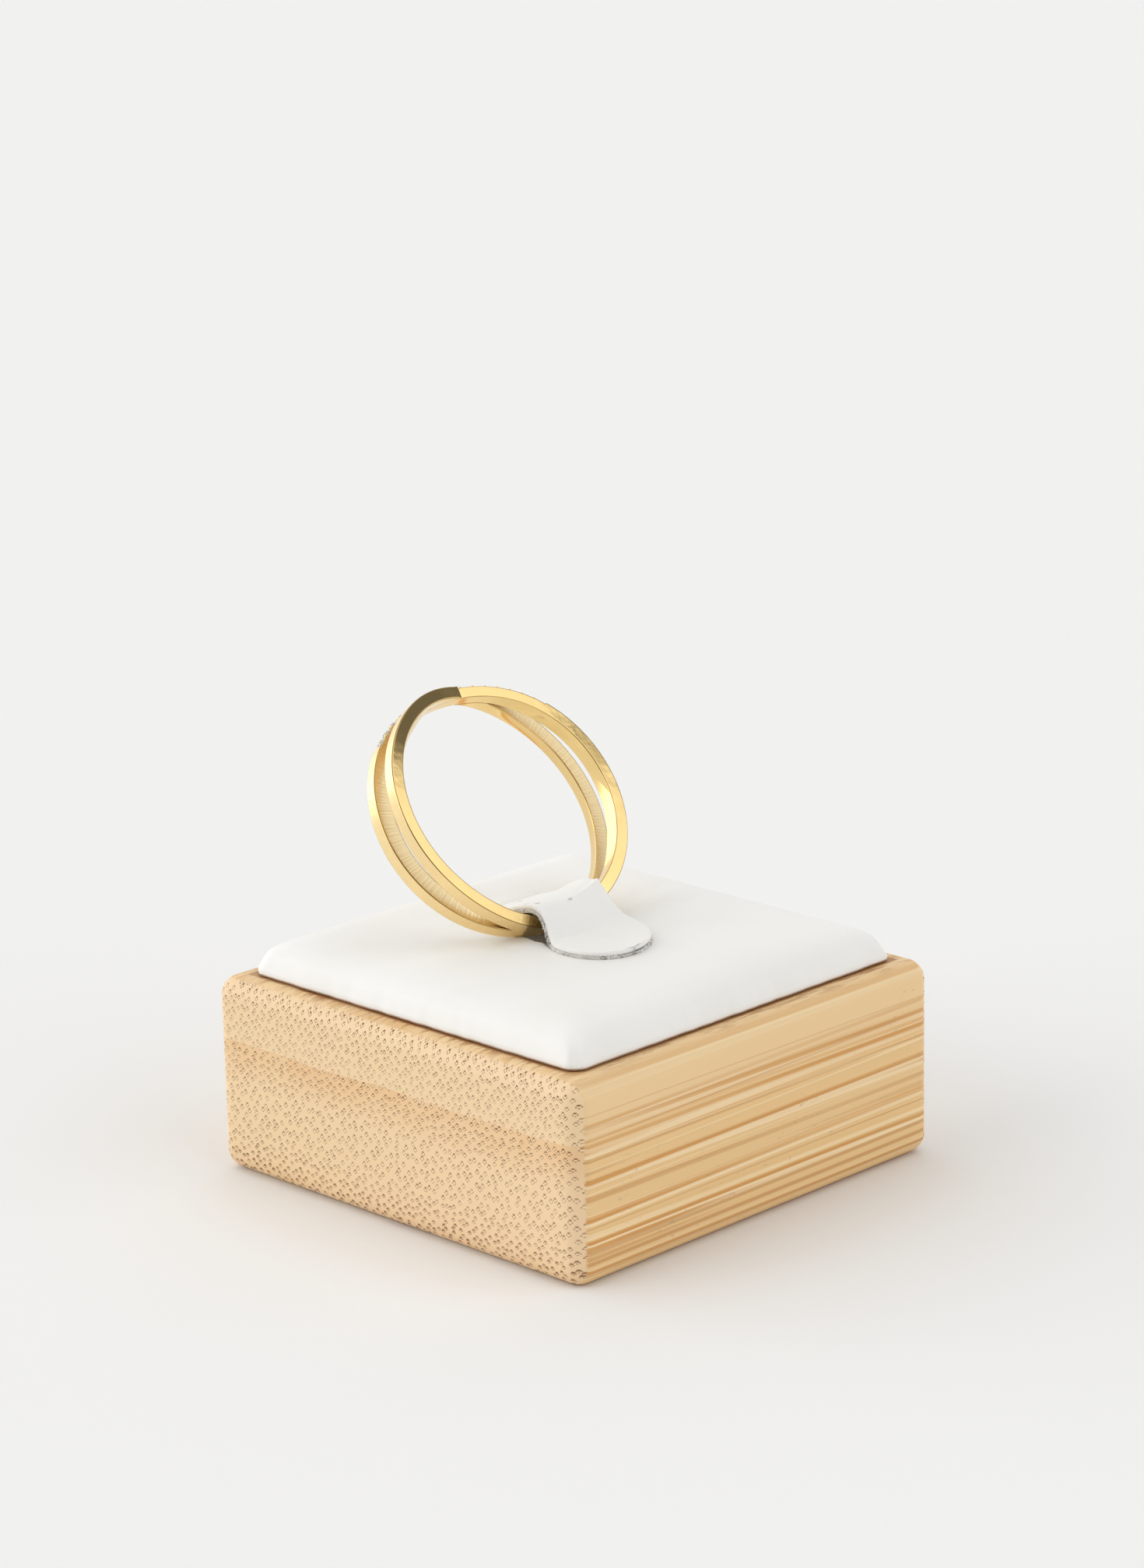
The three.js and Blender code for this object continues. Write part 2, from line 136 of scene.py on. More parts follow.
class Finishes(bpy.types.PropertyGroup):
    """Colours of the materials."""

    gold: colour("Gold", "Polished yellow gold", (0.9, 0.665, 0.295))
    satin_gold: colour("Satin gold", "Gold in the gap between the strands", (0.97, 0.78, 0.46))
    # Painted sheen: a lighter, yellower gold that brightens the outside faces
    painted_sheen_gold: colour("Soft gold", "Softly polished gold of the outside", (1.0, 0.77, 0.4))
    # Painted reflection: a dark gold for the rounded edges and the slot's ends, where the gold would
    # mirror dark surroundings and other gold
    painted_reflection_gold: colour("Deep gold", "Gold that mirrors gold, at edges and in nooks", (0.3, 0.17, 0.035))
    leatherette: colour("Leatherette", "White covering", (0.87, 0.865, 0.845))
    backing: colour("Backing", "Rough back of the covering", (0.6, 0.58, 0.54))
    bamboo: colour("Bamboo", "Pale ground of the bamboo", (0.8, 0.53, 0.24))
    bamboo_fibre: colour("Fibre", "Brown fibre bundles", (0.24, 0.095, 0.025))
    stone: colour("Stone", "Clear stone", (0.97, 0.98, 1.0))


SETTINGS = {"ring_sizes": RingSizes, "stand_sizes": StandSizes, "finishes": Finishes}


def settings(name):
    """One group of the scene's settings."""
    return getattr(bpy.context.scene, name)


# Curves and meshes from arrays

def smooth(share):
    """A share held between 0 and 1, with a soft start and end: s * s * (3 - 2 * s)."""
    share = np.clip(share, 0, 1)
    return share * share * (3 - 2 * share)


def ripple(*phases):
    """A fixed sum of sines, from about -1 to 1, that stands for uneven cutting and wrinkles."""
    return sum(np.sin(p * f + o) for p, f, o in phases) / len(phases)


def grid_faces(rows, columns, wrap_rows=False, wrap_columns=False):
    """Quads that join each point (i, j) of a grid to (i+1, j), (i+1, j+1) and (i, j+1)."""
    i, j = np.meshgrid(
        np.arange(rows if wrap_rows else rows - 1),
        np.arange(columns if wrap_columns else columns - 1), indexing="ij")
    next_i, next_j = (i + 1) % rows, (j + 1) % columns
    quads = [i * columns + j, next_i * columns + j, next_i * columns + next_j, i * columns + next_j]
    return np.stack(quads, -1).reshape(-1, 4)


def cap_faces(rows, columns):
    """One face over each end of a tube of closed sections."""
    return [tuple(range(columns)), tuple(range((rows - 1) * columns, rows * columns))]


def add_mesh(name, shells, materials, smooth=True, weld=0.0):
    """An object of closed shells. A shell is (points, faces, material index of each face or 0)."""
    points, faces, indices, start = [], [], [], 0
    for shell_points, shell_faces, index in shells:
        shell_points = np.asarray(shell_points, float).reshape(-1, 3)
        points.append(shell_points)
        faces += [tuple(int(v) + start for v in face) for face in shell_faces]
        indices += list(np.broadcast_to(index, len(shell_faces)))
        start += len(shell_points)
    mesh = bpy.data.meshes.new(name)
    mesh.from_pydata(np.concatenate(points).tolist(), [], faces)
    for material in materials:
        mesh.materials.append(material)
    mesh.polygons.foreach_set("material_index", np.array(indices, np.int32))
    work = bmesh.new()
    work.from_mesh(mesh)
    if weld:
        bmesh.ops.remove_doubles(work, verts=work.verts, dist=weld)
    bmesh.ops.recalc_face_normals(work, faces=work.faces)
    work.to_mesh(mesh)
    work.free()
    mesh.polygons.foreach_set("use_smooth", [smooth] * len(mesh.polygons))
    mesh.update()
    piece = bpy.data.objects.new(name, mesh)
    bpy.context.scene.collection.objects.link(piece)
    return piece


def store(piece, name, values):
    """Stores a number at each of the mesh's points, for its material."""
    layer = piece.data.attributes.new(name, "FLOAT", "POINT")
    layer.data.foreach_set("value", values.astype(np.float32))


def dress(piece, node):
    """The piece stands for a node, whose part it hides, and rides on the part's one body."""
    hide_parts(*([node] if isinstance(node, str) else node))
    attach(piece, ROOT)
    return piece


# Materials

# Second tones, which the colours in the settings are mixed with
TONES = {
    "smudged gold": (0.8, 0.52, 0.18),
    "cut gold": (0.55, 0.34, 0.12),
    "grey mottle": (0.82, 0.8, 0.75),
    "dark speck": (0.2, 0.19, 0.17),
    "dark backing": (0.3, 0.28, 0.23),
    "dark glue": (0.12, 0.045, 0.012),
    "brown glue": (0.42, 0.2, 0.07),
    "white fluff": (0.8, 0.79, 0.76),
    "grit": (0.1, 0.085, 0.08),
    "tan band": (0.82, 0.57, 0.29),
    "tan streak": (0.87, 0.6, 0.28),
    "pale band": (0.86, 0.64, 0.37),
    "brown line": (0.52, 0.23, 0.05),
    "grey fleck": (0.38, 0.3, 0.2),
    "end grain": (0.86, 0.64, 0.38),
    "rosy end grain": (0.87, 0.63, 0.41),
    "warm end grain": (0.79, 0.49, 0.24),
    "pale eye": (0.93, 0.76, 0.52),
    "scorched": (0.4, 0.17, 0.05),
}

GRAIN_LINES = (
    # (noise scale along the axes, shift upwards, width, share, colour)
    ((60.0, 2.6, 400.0), 0.0, 0.05, 0.85, (0.62, 0.28, 0.06)),
    ((60.0, 2.6, 400.0), 0.18 * MM, 0.022, 0.75, (0.97, 0.8, 0.52)),
    ((90.0, 7.0, 700.0), 3.0 * MM, 0.03, 0.6, (0.56, 0.27, 0.08)),
    ((90.0, 6.0, 620.0), 7.0 * MM, 0.022, 0.6, (0.95, 0.78, 0.5)),
)

# Height and share of the brown lines that run the whole length of the block
LONG_LINES = ((1.2 * MM, 0.5), (1.95 * MM, 0.62), (2.7 * MM, 0.55), (9.5 * MM, 0.3))

# Height of the joint between the two plies in the middle, and its slope across the block
PLY_JOINT = 10.55 * MM
PLY_SLOPE = 0.008


class Value:
    """An output of a node. Each sum with it adds one node to its tree."""

    def __init__(self, writer, socket):
        self.writer = writer
        self.socket = socket

    def __add__(self, other):
        return self.writer.math("ADD", self, other)

    def __sub__(self, other):
        return self.writer.math("SUBTRACT", self, other)

    def __rsub__(self, other):
        return self.writer.math("SUBTRACT", other, self)

    def __mul__(self, other):
        return self.writer.math("MULTIPLY", self, other)

    def __abs__(self):
        return self.writer.math("ABSOLUTE", self)

    __radd__ = __add__
    __rmul__ = __mul__

    def ramp(self, low, high, to_low=0.0, to_high=1.0):
        """The value's stretch from low to high, spread smoothly from to_low to to_high."""
        return self.writer.add("ShaderNodeMapRange", {
            "Value": self, "From Min": low, "From Max": high, "To Min": to_low,
            "To Max": to_high}, interpolation_type="SMOOTHSTEP")


class NodeWriter:
    """A node tree that is written from code: each call adds one node and returns its output."""

    def __init__(self, owner):
        owner.use_nodes = True
        self.tree = owner.node_tree
        self.tree.nodes.clear()

    def plug(self, socket, value):
        """Links an output to a socket, or sets the socket to a plain value."""
        if isinstance(value, Value):
            self.tree.links.new(value.socket, socket)
        elif value is not None:
            if socket.type == "RGBA" and len(value) == 3:
                value = (*value, 1.0)
            socket.default_value = value

    def add(self, kind, inputs, output=0, **options):
        """Adds a node, sets its options and inputs, and returns one of its outputs, if any."""
        node = self.tree.nodes.new(kind)
        for name, value in options.items():
            setattr(node, name, value)
        for key, value in inputs.items():
            self.plug(node.inputs[key], value)
        return Value(self, node.outputs[output]) if len(node.outputs) else None

    def math(self, operation, *values):
        """One sum on numbers."""
        return self.add("ShaderNodeMath", dict(enumerate(values)), operation=operation)

    def larger(self, a, b):
        """The larger of two numbers."""
        return self.math("MAXIMUM", a, b)


class Painter(NodeWriter):
    """The nodes of one material, on object coordinates."""

    def __init__(self, name):
        self.material = bpy.data.materials.new(name)
        super().__init__(self.material)
        self.shader = self.tree.nodes.new("ShaderNodeBsdfPrincipled")
        self.add("ShaderNodeOutputMaterial", {0: Value(self, self.shader.outputs[0])})
        self.position = self.add("ShaderNodeTexCoord", {}, "Object")

    def mapped(self, **inputs):
        """The position, scaled by Scale along the axes or moved by Location."""
        return self.add("ShaderNodeMapping", {"Vector": self.position, **inputs})

    def noise(self, scale, detail=3.0, roughness=0.5, place=None):
        """Smooth noise from 0 to 1. A scale of three numbers stretches it along the axes."""
        place = place or self.position
        if isinstance(scale, tuple):
            place = self.add("ShaderNodeMapping", {"Vector": place, "Scale": scale})
            scale = 1.0
        return self.add("ShaderNodeTexNoise", {
            "Vector": place, "Scale": scale, "Detail": detail, "Roughness": roughness})

    def cells(self, scale, place=None, feature="F1"):
        """Distance from the nearest of scattered points."""
        return self.add("ShaderNodeTexVoronoi", {
            "Vector": place or self.position, "Scale": scale}, "Distance", feature=feature)

    def vector(self, x, y):
        """A place in a plane."""
        return self.add("ShaderNodeCombineXYZ", {0: x, 1: y, 2: 0.0})

    def axis(self, index, vector=None):
        """One coordinate of the position or of a vector."""
        return self.add("ShaderNodeSeparateXYZ", {0: vector or self.position}, index)

    def mix(self, share, a, b):
        """Colour a where share is 0 and b where it is 1."""
        return self.add("ShaderNodeMix", {0: share, 6: a, 7: b}, 2, data_type="RGBA")

    def attribute(self, name):
        """A number stored at the mesh's points."""
        return self.add("ShaderNodeAttribute", {}, "Fac", attribute_name=name)

    def bump(self, height, strength, distance, under=None):
        """Shading normal of a height map, over another one if given."""
        return self.add("ShaderNodeBump", {
            "Height": height, "Strength": strength, "Distance": distance, "Normal": under})

    def finish(self, **inputs):
        """Sets the shader's inputs, underscores standing for spaces, and gives the material."""
        for name, value in inputs.items():
            self.plug(self.shader.inputs[name.replace("_", " ")], value)
        return self.material


def gold_material():
    """Mirror-polished gold with faint wavering and hairlines from handling. On the outside faces an
    attribute makes it rougher and paints a lighter, yellower sheen on it, and on the rounded edges
    another paints a dark reflection."""
    paint = Painter("polished_gold")
    finishes = settings("finishes")
    waver = paint.noise(900.0, 2.0)
    hairline = paint.noise((5200.0, 700.0, 1600.0), 3.0, 0.6)
    smudge = paint.noise(420.0, 4.0, 0.6)
    outer = paint.attribute("outer")
    shade = paint.mix(smudge.ramp(0.3, 0.8, 0.0, 0.18), finishes.gold, TONES["smudged gold"])
    # Painted sheen: the outside faces take the lighter gold
    shade = paint.mix(outer, shade, finishes.painted_sheen_gold)
    # Painted reflection: the rounded edges take the dark gold
    shade = paint.mix(paint.attribute("edge"), shade, finishes.painted_reflection_gold)
    roughness = smudge.ramp(0.35, 0.75, 0.07, 0.17) + outer * 0.16
    normal = paint.bump(waver, 0.16, 0.06 * MM)
    normal = paint.bump(hairline, 0.05, 0.01 * MM, normal)
    return paint.finish(Base_Color=shade, Metallic=1.0, Roughness=roughness, Normal=normal)


def satin_gold_material():
    """Gold as the cutter left it: fine lines across the strand and a satin sheen. Towards the slot's
    ends an attribute paints a deeper reflection into it."""
    paint = Painter("satin_gold")
    finishes = settings("finishes")
    lines = paint.add("ShaderNodeTexNoise", {
        "W": paint.attribute("along_ring"), "Scale": 9000.0, "Detail": 3.0},
        noise_dimensions="1D")
    shade = paint.mix(lines.ramp(0.35, 0.7, 0.0, 0.22), finishes.satin_gold, TONES["cut gold"])
    # Painted reflection: the satin gold darkens towards the slot's ends
    shade = paint.mix(paint.attribute("nook_reflection"), shade, finishes.painted_reflection_gold)
    normal = paint.bump(lines, 0.14, 0.02 * MM)
    normal = paint.bump(paint.noise(6000.0, 2.0, 0.7), 0.1, 0.01 * MM, normal)
    return paint.finish(Base_Color=shade, Metallic=1.0, Normal=normal,
                        Roughness=lines.ramp(0.3, 0.7, 0.24, 0.4))


def leatherette_material(name, speck_scale, speck_share):
    """White leatherette: fine pebbled grain, faint grey mottle, a few dark specks. The attribute
    pocket turns it into the rough backing, and rim into the brown glue line at the wood."""
    paint = Painter(name)
    finishes = settings("finishes")
    pebble = paint.cells(4200.0, feature="SMOOTH_F1")
    grain = paint.noise(7800.0, 4.0, 0.6)
    crease = paint.noise(260.0, 5.0, 0.62)
    mottle = paint.noise(130.0)
    fibre = paint.noise(5200.0, 5.0, 0.75)
    shade = paint.mix(mottle.ramp(0.35, 0.7, 0.0, 0.3), finishes.leatherette, TONES["grey mottle"])
    radius = 0.13 * MM * speck_scale
    speck = paint.cells(speck_scale, paint.mapped(Scale=(1.0, 0.6, 1.0)))
    speck = speck.ramp(radius, 2 * radius, 1.0, 0.0)
    speck = speck * paint.noise(90.0, 1.0).ramp(1 - speck_share, 1.04 - speck_share)
    shade = paint.mix(speck * 0.75, shade, TONES["dark speck"])
    dark = paint.mix(fibre.ramp(0.35, 0.65), TONES["dark backing"], finishes.backing)
    shade = paint.mix(paint.attribute("pocket"), shade, dark)
    glue = paint.mix(fibre.ramp(0.3, 0.7), TONES["dark glue"], TONES["brown glue"])
    shade = paint.mix(paint.attribute("rim"), shade, glue)
    normal = paint.bump(crease, 0.25, 0.2 * MM)
    normal = paint.bump(pebble, 0.16, 0.04 * MM, normal)
    normal = paint.bump(grain, 0.12, 0.02 * MM, normal)
    return paint.finish(Base_Color=shade, Roughness=grain.ramp(0.3, 0.7, 0.42, 0.6),
                        Normal=normal, Specular_IOR_Level=0.4, Subsurface_Weight=0.06,
                        Subsurface_Radius=(0.6 * MM, 0.5 * MM, 0.4 * MM), Subsurface_Scale=1.0)


def backing_material():
    """Rough fibrous backing of the leatherette at its cut edge: white fluff and grey-brown grit."""
    paint = Painter("fibre_backing")
    fibre = paint.noise(4300.0, 5.0, 0.75)
    coarse = paint.noise(1500.0, 3.0, 0.6)
    patch = paint.noise(520.0, 2.0)
    shade = paint.mix(coarse.ramp(0.35, 0.65), settings("finishes").backing, TONES["white fluff"])
    fleck = fibre.ramp(0.5, 0.6) * patch.ramp(0.4, 0.55)
    shade = paint.mix(fleck * 0.85, shade, TONES["grit"])
    normal = paint.bump(fibre, 0.6, 0.12 * MM)
    return paint.finish(Base_Color=shade, Roughness=0.85, Normal=normal)


def blob(paint, place, centre, radius, edge=0.2):
    """1 inside an ellipse about a centre, falling to 0 over its edge."""
    moved = paint.add("ShaderNodeMapping", {
        "Vector": place, "Scale": (1 / radius[0], 1 / radius[1], 1.0),
        "Location": (-centre[0] / radius[0], -centre[1] / radius[1], 0.0)})
    away = paint.add("ShaderNodeVectorMath", {0: moved}, "Value", operation="LENGTH")
    return away.ramp(1 - edge, 1 + edge, 1.0, 0.0)


def fibre_bundles(paint, x, z, upper):
    """Marks of the fibre bundles on a cross section: staggered rows of small eyes, each with a dark
    cap above, smaller ones at both sides and below, and a pale middle. Gives (dark, pale)."""
    rise = z + z.ramp(0.0, 4.0 * MM, 0.0, 1.3 * MM)
    rise = rise + z.ramp(7.5 * MM, 10.5 * MM, 0.0, 1.0 * MM)
    across = x * upper.ramp(0.0, 1.0, 1130.0, 1360.0)
    upwards = rise * upper.ramp(0.0, 1.0, 1040.0, 1250.0)
    lattice = paint.vector(upwards + across, upwards - across)
    nearest = paint.add("ShaderNodeTexVoronoi", {
        "Vector": lattice, "Scale": 1.0, "Randomness": 0.55}, "Position", voronoi_dimensions="2D")
    chance = paint.add("ShaderNodeTexWhiteNoise", {"Vector": nearest}, "Value")
    away = paint.add("ShaderNodeVectorMath", {0: lattice, 1: nearest}, operation="SUBTRACT")
    du, dv = paint.axis(0, away), paint.axis(1, away)
    eye = paint.vector((du - dv) * 1.38, (du + dv) * 1.5)
    wide_cap = z.ramp(0.5 * MM, 4.5 * MM, 1.0, 0.0) * blob(paint, eye, (0, 0.3), (0.46, 0.42))
    cap = paint.larger(blob(paint, eye, (0, 0.36), (0.36, 0.26)), wide_cap)
    sides = paint.larger(*(blob(paint, eye, (at, -0.12), (0.17, 0.24)) for at in (-0.46, 0.46)))
    foot = blob(paint, eye, (0, -0.52), (0.24, 0.18))
    dark = paint.larger(cap, 0.8 * paint.larger(sides, foot)) * chance.ramp(0.0, 1.0, 0.65, 1.0)
    below = z.ramp(0.0, 5.2 * MM, 1.0, 0.78) + z.ramp(6.6 * MM, 9.8 * MM, 0.0, 0.2)
    above = z.ramp(10.8 * MM, 14.6 * MM, 0.68, 1.0)
    strength = upper * above + (1.0 - upper) * below
    return dark * strength, 0.5 * blob(paint, eye, (0, -0.1), (0.26, 0.28))


def long_grain(paint, z, ground):
    """Colour of the fibres seen lengthwise: broad tan bands, thin orange-brown lines, pale lines
    beside them, and fine grey flecks. Gives (colour, streaks)."""
    streak = paint.noise((1500.0, 16.0, 1500.0), 4.0, 0.62)
    broad = paint.noise((120.0, 3.0, 420.0), 2.0)
    pale_top = z.ramp(9.8 * MM, 13.5 * MM, 0.0, 0.6)
    shade = paint.mix(broad.ramp(0.38, 0.62, 0.0, 0.7), ground, TONES["tan band"])
    shade = paint.mix(streak.ramp(0.36, 0.68, 0.0, 0.2), shade, TONES["tan streak"])
    shade = paint.mix(pale_top, shade, TONES["pale band"])
    for scale, shift, width, share, tone in GRAIN_LINES:
        line = abs(paint.noise(scale, 1.0, place=paint.mapped(Location=(0.0, 0.0, shift))) - 0.5)
        line = line.ramp(width * 0.3, width, share, 0.0) * streak.ramp(0.35, 0.55, 0.45, 1.0)
        shade = paint.mix(line * (1.0 - pale_top), shade, tone)
    wander = z + (broad - 0.5) * (0.6 * MM)
    for height, share in LONG_LINES:
        line = abs(wander - height).ramp(0.06 * MM, 0.2 * MM, share, 0.0)
        shade = paint.mix(line, shade, TONES["brown line"])
    fleck = paint.noise((3600.0, 900.0, 3600.0), 3.0, 0.7).ramp(0.6, 0.72, 0.0, 0.5)
    fleck = fleck * paint.noise(130.0, 2.0).ramp(0.45, 0.6)
    return paint.mix(fleck, shade, TONES["grey fleck"]), streak


def bamboo_material():
    """Bamboo laid in two plies with its fibres along Y. The bundles are a pattern in X and Z that
    hardly changes along Y, so the same solid shows eyes on the end grain and lines on the long
    grain. The top is scorched beside the cushion."""
    paint = Painter("bamboo")
    finishes = settings("finishes")
    drift = paint.noise((60.0, 9.0, 60.0), 2.0)
    bend = (drift - 0.5) * (1.1 * MM)
    x, z = paint.axis(0) + bend, paint.axis(2) + bend
    joint = PLY_JOINT + paint.axis(0) * PLY_SLOPE
    upper = (z - joint).ramp(-0.02 * MM, 0.02 * MM)
    dark, pale = fibre_bundles(paint, x, z, upper)

    warm = (1.0 - upper) * z.ramp(6.8 * MM, 10.4 * MM, 0.0, 0.7)
    warm = paint.larger(warm, z.ramp(0.0, 3.0 * MM, 0.4, 0.0))
    cloud = paint.noise((210.0, 20.0, 330.0), 3.0, 0.6)
    end = paint.mix(drift.ramp(0.35, 0.65, 0.0, 0.6), TONES["end grain"], TONES["rosy end grain"])
    end = paint.mix(warm * cloud.ramp(0.3, 0.65, 0.4, 1.0), end, TONES["warm end grain"])
    end = paint.mix(pale, end, TONES["pale eye"])
    end = paint.mix(dark, end, finishes.bamboo_fibre)
    along, streak = long_grain(paint, z, finishes.bamboo)
    facing = paint.add("ShaderNodeNewGeometry", {}, "Normal")
    end_grain = abs(paint.axis(1, facing)).ramp(0.3, 0.5)
    shade = paint.mix(end_grain, along, end)

    from_pad = paint.larger(abs(paint.axis(0)), abs(paint.axis(1))) - PAD_HIGH.x
    comb = paint.noise((2300.0, 260.0, 1.0), 4.0, 0.7)
    smear = from_pad.ramp(0.0, 1.6 * MM, 1.0, 0.0) * comb.ramp(0.46, 0.6)
    smear = paint.larger(smear, from_pad.ramp(0.05 * MM, 0.26 * MM, 0.9, 0.0))
    smear = smear * cloud.ramp(0.3, 0.6, 0.45, 0.95) * paint.axis(2, facing).ramp(0.5, 0.8)
    shade = paint.mix(smear, shade, TONES["scorched"])
    height = paint.mix(end_grain, streak * 0.12, 0.5 - dark)
    normal = paint.bump(height, 0.25, 0.06 * MM)
    return paint.finish(Base_Color=shade, Roughness=streak.ramp(0.3, 0.7, 0.42, 0.58),
                        Normal=normal, Specular_IOR_Level=0.35)


def stone_material():
    """Clear cut stone."""
    return Painter("clear_stone").finish(
        Base_Color=settings("finishes").stone, Roughness=0.02, IOR=2.15,
        Transmission_Weight=0.85)


# The ring's own frame

# Height added to the ring's foot, so that it clears the dent's floor
FOOT_MARGIN = 0.01 * MM


def strand_axial(angle):
    """Axial place of the first strand's middle: swing * tanh(snap * s) / tanh(snap), where s is
    minus the sine of the angle from the crossing. The second strand is its mirror image."""
    ring = settings("ring_sizes")
    swing = -np.sin(angle - ring.crossing)
    return ring.strand_swing * np.tanh(ring.strand_snap * swing) / np.tanh(ring.strand_snap)


def ring_centre():
    """The ring's centre, from where its foot comes and its lowest edge over the pocket's floor."""
    ring, stand = settings("ring_sizes"), settings("stand_sizes")
    outside = ring.bore_radius + ring.band_thickness
    angle = np.linspace(0, 2 * np.pi, 721)
    far = -np.abs(strand_axial(angle)) - ring.strand_width / 2
    lowest = np.min(outside * np.cos(angle) * np.cos(ring.lean) + far * np.sin(ring.lean))
    floor = PAD_HIGH.z - stand.pocket_depth
    reach = np.sqrt(2) * ring.seat_gap + FOOT_MARGIN
    return np.array([
        ring.foot_x - outside * np.sin(ring.lean) + ring.strand_width / 2 * np.cos(ring.lean),
        ring.centre_y, floor + reach - lowest])


def ring_axes():
    """Unit vectors of the leaning ring: up its middle, sideways, and along its axis."""
    ring = settings("ring_sizes")
    lean, turn = ring.lean, ring.turn
    spin = np.array([[np.cos(turn), -np.sin(turn), 0], [np.sin(turn), np.cos(turn), 0], [0, 0, 1]])
    up = spin @ [-np.sin(lean), 0, np.cos(lean)]
    side = spin @ [0, -1, 0]
    axis = spin @ [np.cos(lean), 0, np.sin(lean)]
    return up, side, axis


def ring_points(angle, radius, axial):
    """centre + radius * (cos(angle) * up + sin(angle) * side) + axial * axis."""
    up, side, axis = ring_axes()
    angle, radius, axial = np.broadcast_arrays(angle, radius, axial)
    return (ring_centre() + (radius * np.cos(angle))[..., None] * up
            + (radius * np.sin(angle))[..., None] * side + axial[..., None] * axis)


def stone_angles():
    """Angles of the stones, evenly pitched about the run's centre."""
    ring = settings("ring_sizes")
    count = len(STONE_NODES)
    return ring.run_centre + ring.stone_pitch * (np.arange(count) - (count - 1) / 2)


# The band

# Shares of a flat face and angles of a rounded edge at which a bar's section has points
FACE_SHARES = (0.0, 0.04, 0.5, 0.96, 1.0)
ARC_ANGLES = np.radians([18.0, 45.0, 72.0])
# How dark the painted reflection makes the bore's edges, next to the outer ones
BORE_EDGE_REFLECTION = 0.55
# How far the strands part until the bore has swelled fully, at what angle from the top the swell
# ends, and over what angle it fades before that
SWELL_PARTING = 0.6 * MM
SWELL_STOP = np.radians(148)
SWELL_FADE = np.radians(26)
# How long the ramps at the ends of the run are, and how the seats fit the stones
RUN_RAMP = 0.05 * MM
SEAT_MARGIN = 0.03 * MM
SEAT_DEPTH = 0.46
# Spacing of the sections along the run and how far it goes on beyond the run's ends, and the
# numbers of sections on the rest and on half a plain strand
RUN_STEP = np.radians(0.26)
RUN_MARGIN = np.radians(0.6)
REST_STATIONS = 440
HALF_STATIONS = 420
# Lines across the outside of the strand with the stones
OUTSIDE_LINES = 27
# How far each half of the plain strand laps into the other strand
LAP = 0.02 * MM
# Greatest share of a bar's width that one rounded edge takes
WIDEST_EDGE = 0.45
# Length of the painted reflection that darkens the gold at the slot's ends
NOOK_REFLECTION = 0.45 * MM
# Points round a bead and from pole to pole, and its distance from the strand's edge
BEAD_ROUND, BEAD_LEVELS = 12, 9
BEAD_INSET = 0.02 * MM


def section_table(outer_shares):
    """The closed section of a bar, as a row for each point: outside face, high side, bore face and
    low side, joined by quarter arcs. A row gives the share across, how much of the edge radius at
    the low and at the high side is added to that, the share of the radius and how much of the edge
    radius is added outwards, and marks: how much painted reflection darkens the point on a rounded
    edge, how far it lies on the outside, which is rougher and gets the painted sheen, and on which
    flat side (1 high, 2 low)."""
    s, o = np.array(FACE_SHARES), np.array(outer_shares)
    inset, sink = 1 - np.sin(ARC_ANGLES), 1 - np.cos(ARC_ANGLES)
    # Painted reflection: the marks darken the rounded edges most at their middle, the bore's edges
    # less
    edge = np.sin(2 * ARC_ANGLES)
    bore = BORE_EDGE_REFLECTION * edge
    parts = (
        (o, 1 - o, -o, 1, 0, 0, 1, 0),
        (1, 0, -inset, 1, -sink, edge, 0.5, 0),
        (1, 0, 0, 1 - s, 2 * s - 1, 0, 0, 1),
        (1, 0, -inset[::-1], 0, sink[::-1], bore, 0, 0),
        (1 - s, s, s - 1, 0, 0, 0, 0, 0),
        (0, inset, 0, 0, sink, bore, 0, 0),
        (0, 0, 0, s, 1 - 2 * s, 0, 0, 2),
        (0, inset[::-1], 0, 1, -sink[::-1], edge, 0.5, 0))
    return np.concatenate([np.stack(np.broadcast_arrays(*part), -1) for part in parts])


def bore_swell(angle):
    """How much the bore narrows towards the slot: nothing where the strands cross or where the
    tongue runs over the shank, rising smoothly to the comfort size."""
    ring = settings("ring_sizes")
    parted = (np.abs(strand_axial(angle)) - ring.strand_width / 2) / SWELL_PARTING
    from_top = np.abs((angle + np.pi) % (2 * np.pi) - np.pi)
    swell = np.where(np.sin(angle) > 0, ring.comfort, ring.comfort_right)
    return swell * smooth(parted) * smooth((SWELL_STOP - from_top) / SWELL_FADE)


def bar_shell(angle, low, high, edge_low, edge_high, outer_shares, closed, slot_low,
              relief=None, flip=1.0):
    """A bar that follows the ring. Each station has a section from axial low to high and from the
    bore to the outside, with its edges rounded. slot_low says where the low side faces the slot,
    towards which the bore swells, and relief(angle, axial) how far the outside is lowered. Gives
    the points, the faces, each face's side (1 high, 2 low, 0 other) and its station."""
    ring = settings("ring_sizes")
    inside, outside = ring.bore_radius, ring.bore_radius + ring.band_thickness
    across, by_low, by_high, radial, deep, _, _, flat = section_table(outer_shares).T
    around, low, high, edge_low, edge_high, slot_low = (
        line[:, None] for line in (angle, low, high, edge_low, edge_high, slot_low))
    axial = low * (1 - across) + high * across + by_low * edge_low + by_high * edge_high
    edge = edge_low * (1 - across) + edge_high * across
    radius = inside * (1 - radial) + outside * radial + deep * edge
    towards_slot = np.where(slot_low, 1 - across, across)
    radius = radius - bore_swell(around) * (1 - radial) * towards_slot**1.5
    if relief is not None:
        radius = radius - relief(around, axial) * radial
    points = ring_points(around, radius, axial * flip)
    rows, columns = points.shape[:2]
    side = np.where(flat == np.roll(flat, -1), flat, 0).astype(int)
    face_rows = rows if closed else rows - 1
    return (points, grid_faces(rows, columns, closed, True), np.tile(side, face_rows),
            np.repeat(np.arange(face_rows), columns))


